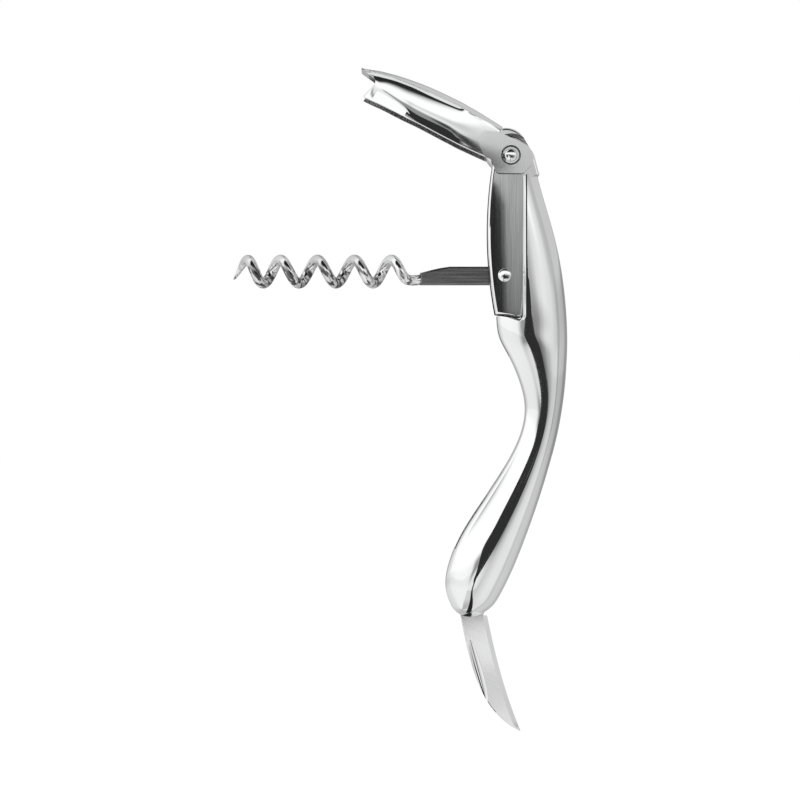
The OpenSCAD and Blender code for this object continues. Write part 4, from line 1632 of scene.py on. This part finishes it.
@dataclass
class Worm:
    """Coiled wire with a drawn-out point on a forged shank."""

    at: Layout
    polish: bpy.types.Material
    forged: bpy.types.Material
    steps: int = 48
    sides: int = 28
    # The point: turns over which it grows to the full wire, and its blunt end as a share of the wire
    point_turns: float = 0.45
    blunt_share: float = 0.16
    # The bend into the shank: drop and lap of its end in the shank, its two handles as shares of its
    # length, its steps, and the turn over which the coil's heading is taken
    seat_drop: float = 0.95
    seat_lap: float = 1.0
    bend_shares: Pair = (0.6, 0.7)
    bend_steps: int = 22
    heading_turn: float = 0.01
    # The shank: half its thickness, the eye's angle, its shoulder as distances from its end and shares of
    # its half height, the height of its end, and how round its long edges are
    half_thick: float = 1.5
    eye_angle: float = 52.5
    shoulder: tuple[Pair, ...] = ((7.4, 1.0), (5.2, 0.86), (2.96, 0.65))
    end_height: float = 0.7
    edge: float = 0.45
    eye_hole_r: float = 1.35
    eye_reach: float = 9.0
    crisp: float = 40.0

    def coil_point(self, turns: float) -> Vector:
        """Gives the wire's middle after a number of turns, in the worm's own drawing.

        Args:
            turns: Turns from the point.

        Returns:
            The middle.
        """
        at = self.at
        a = math.tau * (turns - at.coil_turns)
        r = (at.coil_d - at.wire_d) / 2
        start = -at.reach() + at.wire_d / 2
        return Vector((start + at.advance(turns), -r * math.sin(a), at.coil_rise + r * math.cos(a)))

    def path(self, end: float, stretches: int) -> list[Vector]:
        """Draws the wire's middle line from the point, round the coil and into the shank.

        Args:
            end: The coil's turns.
            stretches: Points on the coil.

        Returns:
            The line's points.
        """
        at, nudge = self.at, self.heading_turn
        start = self.coil_point(end)
        heading = (self.coil_point(end + nudge) - self.coil_point(end - nudge)).normalized()
        seat = Vector((self.seat_lap - at.shank_length, 0, -self.seat_drop))
        first, last = (at.bend_length * share for share in self.bend_shares)
        bend = [start, start + heading * first, seat - Vector((last, 0, 0)), seat]
        coil = [self.coil_point(end * i / stretches) for i in range(stretches)]
        return coil + [Vector(bezier(bend, i / self.bend_steps)) for i in range(self.bend_steps + 1)]

    def rings(self) -> list[list[Vector]]:
        """Draws the wire's sections from the point to the shank.

        Returns:
            The rings.
        """
        at, full = self.at, self.at.wire_d / 2
        end = at.coil_turns + at.coil_overturn
        stretches = round(end * self.steps)
        path = self.path(end, stretches)
        rings = []
        side = Vector((0, 0, 1))
        for i, middle in enumerate(path):
            ahead = (path[min(i + 1, len(path) - 1)] - path[max(i - 1, 0)]).normalized()
            side = (side - ahead * side.dot(ahead)).normalized()
            other = ahead.cross(side)
            r = full
            if i < stretches:
                share = min(1.0, end * i / stretches / self.point_turns)
                r *= self.blunt_share + (1 - self.blunt_share) * math.sin(math.pi / 2 * share)
            centre = middle + Vector((r - full, 0, 0))
            ring = []
            for k in range(self.sides):
                a = -math.tau * k / self.sides
                p = centre + (side * math.cos(a) + other * math.sin(a)) * r
                ring.append(Vector((at.rivet[0] + p.x, p.y, at.rivet[1] + p.z)))
            rings.append(ring)
        return rings

    def shank(self) -> bmesh.types.BMesh:
        """Builds the forged shank with its rounded long edges and the eye's disc.

        Returns:
            The shank.
        """
        at, half, thick, end = self.at, self.at.shank_half, self.half_thick, -self.at.shank_length
        line = [
            (0.0, -half), *arc((0, 0), at.eye_r, -self.eye_angle, self.eye_angle, 16), (0.0, half),
            *[(end + x, half * share) for x, share in self.shoulder], (end, self.end_height), (end, -half),
        ]
        bm = Solid.prism(moved(line, at.rivet), -thick, thick)
        Solid.soften(bm, lambda e: on_side(e, thick), self.edge, 3)
        return bm

    def build(self) -> bpy.types.Object:
        """Builds the worm.

        Returns:
            The finished piece.
        """
        piece = Solid.place(Solid.loft(self.rings()), "worm_wire", self.polish)
        Solid.fit(piece, self.shank(), Cut.JOIN, self.forged)
        hole = Solid.rod(self.eye_hole_r, self.at.rivet, -self.eye_reach, self.eye_reach)
        Solid.fit(piece, hole, Cut.AWAY, self.forged)
        Solid.finish(piece, self.crisp)
        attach(piece, "worm")
        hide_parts("worm")
        return piece


# The knife


@dataclass
class Knife:
    """Foil knife with a ground edge, a flat root and a scooped nail nick."""

    at: Layout
    satin: bpy.types.Material
    ground: bpy.types.Material
    thick: float = 1.5
    # Controls of the edge's and the spine's curves, and the sections along them
    edge_shares: tuple[Pair, ...] = ((0.049, -0.177), (0.142, -0.644), (0.276, -0.961))
    spine_shares: tuple[Pair, ...] = ((-0.136, -0.171), (-0.076, -0.476), (-0.014, -0.829), (0.274, -0.964))
    steps: int = 40
    # The ground edge: width, its most as a share of the blade, and half its thickness at the edge
    bevel: float = 1.1
    bevel_share: float = 0.6
    edge_half: float = 0.075
    # The spine's bevel: width, its most as a share of the blade, and depth
    spine_bevel: float = 0.18
    spine_share: float = 0.2
    spine_depth: float = 0.16
    # The root: radius, and its hole's
    root_r: float = 3.4
    hole_r: float = 1.05
    hole_reach: float = 9.0
    # The nail nick: its two ends, half its width and its depth
    nick_shares: tuple[Pair, ...] = ((-0.070, -0.340), (0.048, -0.781))
    nick_half: float = 1.05
    nick_depth: float = 0.42
    crisp: float = 20.0

    def rings(self) -> list[list[Vector]]:
        """Draws the blade's sections from the root to the point.

        Returns:
            The rings.
        """
        length, pin = self.at.knife_length, self.at.knife_pin
        h, e, s = self.thick / 2, self.edge_half, self.thick / 2 - self.spine_depth
        made = []
        for i in range(self.steps + 1):
            edge = Vector(bezier(self.edge_shares, i / self.steps)) * length
            spine = Vector(bezier(self.spine_shares, i / self.steps)) * length
            width = (edge - spine).length
            ground = edge + (spine - edge) * (min(self.bevel, self.bevel_share * width) / width)
            rim = spine + (edge - spine) * min(self.spine_bevel / width, self.spine_share)
            near = [(spine, -s), (rim, -h), (ground, -h), (edge, -e)]
            ring = [*near, *[(p, -y) for p, y in reversed(near)]]
            made.append([Vector((pin[0] + p.x, y, pin[1] + p.y)) for p, y in ring])
        return made

    def nick(self) -> bmesh.types.BMesh:
        """Builds the lens that scoops the nail nick out of the near side.

        Returns:
            The lens.
        """
        pin = self.at.knife_pin
        first, last = (Vector(share) * self.at.knife_length for share in self.nick_shares)
        middle = (first + last) / 2
        size = (self.nick_half, self.nick_depth, (last - first).length / 2)
        lean = math.atan2(last.x - first.x, first.y - last.y)
        bm = bmesh.new()
        bmesh.ops.create_uvsphere(bm, u_segments=48, v_segments=24, radius=1.0)
        bmesh.ops.scale(bm, verts=bm.verts, vec=size)
        bmesh.ops.rotate(bm, verts=bm.verts, cent=(0, 0, 0), matrix=Matrix.Rotation(-lean, 3, "Y"))
        place = (pin[0] + middle.x, -self.thick / 2, pin[1] + middle.y)
        bmesh.ops.translate(bm, verts=bm.verts, vec=place)
        return bm

    def build(self) -> bpy.types.Object:
        """Builds the knife.

        Returns:
            The finished piece.
        """
        at, half, length, r = self.at.knife_pin, self.thick / 2, self.at.knife_length, self.root_r
        piece = Solid.place(Solid.loft(self.rings()), "knife_blade", self.satin)
        Solid.skin_rims(piece, self.ground)
        (spine_x, spine_z), (edge_x, edge_z) = self.spine_shares[0], self.edge_shares[0]
        root = [
            (-r, 0.0), (spine_x * length, spine_z * length), (edge_x * length - self.bevel, edge_z * length),
            (r, 0.0),
        ]
        Solid.fit(piece, Solid.prism(moved(root, at), -half, half), Cut.JOIN, self.satin)
        Solid.fit(piece, Solid.rod(r, at, -half, half), Cut.JOIN, self.satin)
        Solid.fit(piece, Solid.rod(self.hole_r, at, -self.hole_reach, self.hole_reach), Cut.AWAY, self.satin)
        Solid.fit(piece, self.nick(), Cut.AWAY, self.ground)
        Solid.finish(piece, self.crisp)
        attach(piece, "knife")
        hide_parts("knife")
        return piece


# Studio


@dataclass(frozen=True)
class Card:
    """Board beside the object that only polished metal sees."""

    name: str
    tone: float
    corners: tuple[Row, ...]

    def build(self) -> bpy.types.Object:
        """Builds the card, hidden from the camera, from diffuse and transmission rays and from shadows.

        Returns:
            The card.
        """
        tree = Tree(self.name)
        tree.end(tree.add("ShaderNodeEmission", {}, {"Color": (self.tone, self.tone, self.tone, 1)}))
        bm = bmesh.new()
        bm.faces.new([bm.verts.new(p) for p in self.corners])
        card = Studio.staged(bm, self.name, tree.material)
        card.visible_camera = False
        card.visible_diffuse = False
        card.visible_shadow = False
        card.visible_transmission = False
        return card


@dataclass
class Studio:
    """Pale floor, soft surroundings and lamps, dark cards round the lens, and the camera, in metres."""

    floor_z: float = -0.0832
    floor_half: float = 3.0
    distance: float = 0.7
    view_width: float = 0.2
    sensor: float = 36.0
    # Tones of the room round the object by angle in degrees, from the lens towards the right
    low_room: tuple[Pair, ...] = (
        (-180, 0.40), (-150, 0.62), (-112, 0.68), (-86, 0.74), (-70, 0.86), (-50, 0.92), (-24, 0.92),
        (-15, 0.88), (-9, 0.30), (16, 0.16), (24, 0.26), (34, 0.42), (55, 0.66), (74, 0.70), (80, 0.42),
        (84, 0.40), (88, 0.54), (112, 0.50), (130, 0.30), (180, 0.34),
    )
    middle_room: tuple[Pair, ...] = (
        (-180, 0.40), (-150, 0.62), (-112, 0.72), (-80, 0.95), (-62, 1.0), (-1, 1.0), (3, 0.48), (8, 0.54),
        (14, 0.60), (22, 0.72), (36, 0.78), (54, 0.72), (70, 0.58), (78, 0.40), (84, 0.40), (90, 0.48),
        (112, 0.44), (130, 0.28), (180, 0.34),
    )
    high_room: tuple[Pair, ...] = (
        (-180, 0.40), (-150, 0.62), (-112, 0.72), (-80, 0.95), (-62, 1.0), (30, 1.0), (50, 0.74), (72, 0.48),
        (84, 0.46), (90, 0.56), (150, 0.56), (180, 0.34),
    )
    # Heights in degrees between which the middle and the high tones take over
    middle_rise: Pair = (1.0, 5.0)
    high_rise: Pair = (7.0, 11.0)
    # Share of the dark ceiling before the object by height in degrees, its tone, how much it narrows to
    # the sides, and where it starts and is full
    ceiling: tuple[Pair, ...] = ((-90, 0.0), (19, 0.0), (34, 1.0), (90, 1.0))
    ceiling_tone: float = 0.02
    ceiling_narrow: float = 0.6
    ceiling_edge: Pair = (0.05, 0.2)
    # Strengths of the light on dull surfaces, of the white that the camera sees, and of what metal sees
    soft_light: float = 0.55
    white: float = 1.0
    studio_light: float = 1.12
    # The floor where metal sees it: distance within which it shines, its shine behind the object and what
    # is added before it, the bright strip's start and half width, and that strip's share
    shine_edge: Pair = (0.08, 0.45)
    back_share: float = 0.3
    ahead_share: float = 0.3
    ahead_edge: Pair = (0.0, 0.05)
    strip_edge: Pair = (0.05, 0.22)
    strip_sides: Pair = (0.03, 0.20)
    strip_share: float = 0.85
    # The floor where the camera sees it: paint, its roughness, its white, and the white's share
    paint_tone: float = 0.9
    paint_rough: float = 0.9
    floor_white: float = 1.06
    floor_share: float = 0.9
    # Dark cards: one round the lens, one as a path on the floor, and two just before the object
    flag_y: float = -0.60
    flag: tuple[Pair, ...] = (
        (-0.01, -0.35), (-0.01, -0.20), (-0.030, -0.05), (-0.055, 0.010), (-0.045, 0.024), (-0.018, 0.042),
        (-0.014, 0.070), (-0.006, 0.088), (0.008, 0.098), (0.028, 0.101), (0.0445, 0.100), (0.048, 0.090),
        (0.049, 0.040), (0.090, 0.030), (0.16, 0.015), (0.20, -0.03), (0.36, -0.06), (0.36, -0.12),
        (0.20, -0.20), (0.12, -0.35),
    )
    path_lift: float = 0.0004
    path: tuple[Pair, ...] = (
        (0.010, 0.012), (0.009, -0.05), (0.006, -0.12), (0.003, -0.20), (0.002, -0.32), (-0.02, -0.45),
        (-0.03, -0.59), (0.34, -0.59), (0.18, -0.48), (0.018, -0.37), (0.016, -0.20), (0.020, -0.12),
        (0.021, -0.05), (0.019, 0.012),
    )
    near_y: float = -0.04
    lever_flag: tuple[Pair, ...] = ((-0.015, 0.046), (0.0110, 0.046), (0.0110, 0.066), (-0.015, 0.071))
    ear_flag: tuple[Pair, ...] = ((0.014, 0.0600), (0.0275, 0.0600), (0.0275, 0.0640), (0.014, 0.0680))
    flag_tone: float = 0.03
    path_tone: float = 0.02

    @staticmethod
    def staged(bm: bmesh.types.BMesh, name: str, material: bpy.types.Material) -> bpy.types.Object:
        """Puts a mesh of the studio into the scene, in the same way as a piece.

        Args:
            bm: The mesh in metres, which is used up.
            name: The object's name.
            material: Its material.

        Returns:
            The object.
        """
        made = Solid.place(bm, name, material)
        return made

    def round_tone(self, tree: Tree, place: Link, tones: Sequence[Pair]) -> Link:
        """Gives the room's tone in the direction of a point.

        Args:
            tree: The node tree.
            place: The point or direction.
            tones: The tones by angle.

        Returns:
            The tone.
        """
        across, ahead = tree.part(place, "X"), 0.0 - tree.part(place, "Y")
        angle = across.math("ARCTAN2", across, ahead)
        return tree.ramp(angle * (1 / math.tau) + 0.5, [(a / 360 + 0.5, tone) for a, tone in tones], "EASE")

    def surroundings(self) -> None:
        """Sets a soft white world, plain white to the camera, and the studio's walls where metal sees it."""
        tree = Tree("surroundings", world=True)
        bpy.context.scene.world = tree.owner
        way = tree.add("ShaderNodeTexCoord", {}, {}, "Generated")
        height = way.math("ARCSINE", tree.part(way, "Z"))
        stops = [(a / 180 + 0.5, tone) for a, tone in self.ceiling]
        roof = tree.ramp(height * (1 / math.pi) + 0.5, stops, "EASE")
        walls = self.round_tone(tree, way, self.low_room)
        for room, rise in ((self.middle_room, self.middle_rise), (self.high_room, self.high_rise)):
            share = height.over(*(math.radians(a) for a in rise))
            walls = tree.mix(share, walls, self.round_tone(tree, way, room))
        narrow = tree.part(way, "X").size() * self.ceiling_narrow
        before = (0.0 - tree.part(way, "Y") - narrow).over(*self.ceiling_edge)
        seen = tree.mix(roof * before, walls, (*(self.ceiling_tone,) * 3, 1))
        soft, plain, studio = (
            tree.add("ShaderNodeBackground", {}, {"Color": colour, "Strength": strength})
            for colour, strength in ((WHITE, self.soft_light), (WHITE, self.white), (seen, self.studio_light))
        )
        lit = tree.blend(tree.ray("Is Camera Ray", "Is Transmission Ray"), soft, plain)
        tree.end(tree.blend(tree.ray("Is Glossy Ray"), lit, studio))

    def floor(self) -> bpy.types.Object:
        """Builds the floor, white to the camera but for the object's shadow, and toned as the walls to metal.

        Returns:
            The floor.
        """
        tree = Tree("floor_paint")
        tree.surface.inputs["Base Color"].default_value = (*(self.paint_tone,) * 3, 1)
        tree.surface.inputs["Roughness"].default_value = self.paint_rough
        paint = Link(tree, tree.surface.outputs[0])
        white = tree.add("ShaderNodeEmission", {}, {"Color": WHITE, "Strength": self.floor_white})
        place = tree.where()
        across, ahead = tree.part(place, "X"), 0.0 - tree.part(place, "Y")
        near = 1.0 - (across ** 2 + ahead ** 2).root().over(*self.shine_edge)
        strip = ahead.over(*self.strip_edge) * (1.0 - across.size().over(*self.strip_sides))
        share = near * (ahead.over(*self.ahead_edge) * self.ahead_share + self.back_share)
        shine = near.math("MAXIMUM", share, strip * self.strip_share)
        tone = tree.mix(shine, self.round_tone(tree, place, self.low_room), WHITE)
        walls = tree.add("ShaderNodeEmission", {}, {"Color": tone, "Strength": 1.0})
        seen = tree.ray("Is Camera Ray", "Is Transmission Ray") * self.floor_share
        tree.end(tree.blend(tree.ray("Is Glossy Ray"), tree.blend(seen, paint, white), walls))
        bm = bmesh.new()
        bmesh.ops.create_grid(bm, x_segments=1, y_segments=1, size=self.floor_half)
        bmesh.ops.translate(bm, verts=bm.verts, vec=(0, 0, self.floor_z))
        return self.staged(bm, "floor", tree.material)

    def lamp(self, name: str, place: Row, size: float, power: float) -> None:
        """Hangs a soft square lamp that points at the object.

        Args:
            name: The lamp's name.
            place: Where it hangs, in metres.
            size: Its side.
            power: Its power in watts.
        """
        data = bpy.data.lights.new(name, "AREA")
        data.shape = "SQUARE"
        data.size = size
        data.energy = power
        lamp = bpy.data.objects.new(name, data)
        lamp.location = place
        lamp.rotation_euler = (-Vector(place)).to_track_quat("-Z", "Y").to_euler()
        lamp.visible_glossy = False
        bpy.context.scene.collection.objects.link(lamp)

    def camera(self) -> None:
        """Sets the camera straight from the near side."""
        data = bpy.data.cameras.new("camera")
        data.sensor_width = self.sensor
        data.lens = self.sensor * self.distance / self.view_width
        data.clip_start = 0.01
        camera = bpy.data.objects.new("camera", data)
        camera.location = (0, -self.distance, 0)
        camera.rotation_euler = (math.pi / 2, 0, 0)
        bpy.context.scene.collection.objects.link(camera)
        bpy.context.scene.camera = camera

    def cards(self) -> list[Card]:
        """Lists the cards that the polished metal reflects.

        Returns:
            The cards.
        """
        upright = (
            ("flag", self.flag, self.flag_y), ("near_flag", self.lever_flag, self.near_y),
            ("ear_flag", self.ear_flag, self.near_y),
        )
        cards = [Card(name, self.flag_tone, tuple((x, y, z) for x, z in line)) for name, line, y in upright]
        low = self.floor_z + self.path_lift
        return [*cards, Card("path", self.path_tone, tuple((x, y, low) for x, y in self.path))]

    def build(self) -> None:
        """Builds the whole studio."""
        bpy.context.scene.view_settings.view_transform = "Standard"
        self.surroundings()
        self.floor()
        self.lamp("key", (-0.7, -0.9, 1.1), 1.0, 9.0)
        self.lamp("fill", (0.9, -0.7, 0.5), 1.0, 4.0)
        self.camera()
        for card in self.cards():
            card.build()


# The whole tool


@dataclass
class Finishes:
    """The metals of the tool, made once."""

    polish: bpy.types.Material = field(default_factory=lambda: Polished("mirror_steel").make())
    lever: bpy.types.Material = field(default_factory=lambda: Polished(
        "lever_steel", spot=(0.0275, 0.0607), reach=(0.004, 0.016), soft=0.16).make())
    # The wire's streaks are painted shade on the lower part of the coil, fading out towards its top
    wire: bpy.types.Material = field(default_factory=lambda: Polished(
        "wire_steel", dark=(0.10, 0.10, 0.10), gloss=0.05, haze=0.06, drawn=0.85).make())
    plate: bpy.types.Material = field(default_factory=lambda: Brushed(
        "brushed_sheet", light=(0.74, 0.745, 0.75), dark=(0.52, 0.525, 0.53), rough=0.03,
        depth=0.0000002).make())
    jaw: bpy.types.Material = field(default_factory=lambda: Brushed(
        "brushed_jaw", light=(0.92, 0.92, 0.93), dark=(0.70, 0.70, 0.71), turn=60.0).make())
    forged: bpy.types.Material = field(default_factory=lambda: Brushed(
        "forged_shank", light=(0.26, 0.26, 0.265), dark=(0.13, 0.13, 0.132), rough=0.22, turn=90.0).make())
    satin: bpy.types.Material = field(default_factory=lambda: Brushed(
        "satin_blade", light=(1.0, 1.0, 1.0), dark=(0.92, 0.92, 0.925), rough=0.08, turn=62.0,
        depth=0.0000002).make())
    small: bpy.types.Material = field(default_factory=lambda: Brushed(
        "satin_small", light=(0.72, 0.72, 0.73), dark=(0.58, 0.58, 0.59), rough=0.22, depth=0.0000015).make())
    hollow: bpy.types.Material = field(default_factory=lambda: Blasted("blasted_hollow").make())
    groove: bpy.types.Material = field(default_factory=lambda: Blasted(
        "blasted_groove", light=(0.55, 0.55, 0.55), dark=(0.3, 0.3, 0.3), rough=0.35).make())
    # Near-black painted shadow for the seam beside the pocket's rim and for the recess round the ears
    painted_shadow: bpy.types.Material = field(default_factory=lambda: Blasted(
        "painted_shadow_black", light=(0.09, 0.09, 0.09), dark=(0.02, 0.02, 0.02), rough=0.35).make())


def keep_nodes(finishes: Finishes) -> None:
    """Gives the CAD nodes that stay in sight their finishes.

    Args:
        finishes: The metals.
    """
    kept = {
        "frame_screw_upper": finishes.small, "frame_screw_lower": finishes.small,
        "worm_spacer_near": finishes.small, "worm_spacer_far": finishes.small,
        "knife_pin": finishes.polish, "knife_washer_near": finishes.small, "knife_washer_far": finishes.small,
    }
    for name, material in kept.items():
        node = frame["nodes"][name]
        node.data.materials.clear()
        node.data.materials.append(material)
        LOG.info("%s keeps its CAD shape with %s", name, material.name)


def main() -> None:
    """Builds every piece in order, then the studio."""
    logging.basicConfig(level=logging.INFO, format="%(message)s")
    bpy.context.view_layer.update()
    at = Layout()
    metal = Finishes()
    near, far = SIDES
    lever_pin = DomedPin(
        "lever_pin_domed", "lever_pin", "lever", at.pin, shaft_r=at.lever_pin_d / 2, half_length=6.2,
        head_r=1.6, head_height=0.7, polish=metal.polish,
    )
    worm_rivet = DomedPin(
        "worm_rivet_domed", "worm_rivet", "handle", at.rivet, shaft_r=at.worm_rivet_d / 2, half_length=4.85,
        head_r=1.65, head_height=0.4, polish=metal.polish,
    )
    pieces = [
        Handle(at, metal.polish, metal.groove, metal.painted_shadow),
        Frame(at, metal.plate, metal.polish),
        Lever(at, metal.lever, metal.hollow, metal.jaw),
        lever_pin,
        PinWasher("lever_washer_near_ring", "lever_washer_near", "lever", at.pin, near, metal.polish),
        PinWasher("lever_washer_far_ring", "lever_washer_far", "lever", at.pin, far, metal.polish),
        Worm(at, metal.wire, metal.forged),
        worm_rivet,
        Knife(at, metal.satin, metal.polish),
    ]
    for piece in pieces:
        made = piece.build()
        LOG.info("%s built with %d faces", made.name, len(made.data.polygons))
    keep_nodes(metal)
    Studio().build()


if __name__ == "__main__":
    main()
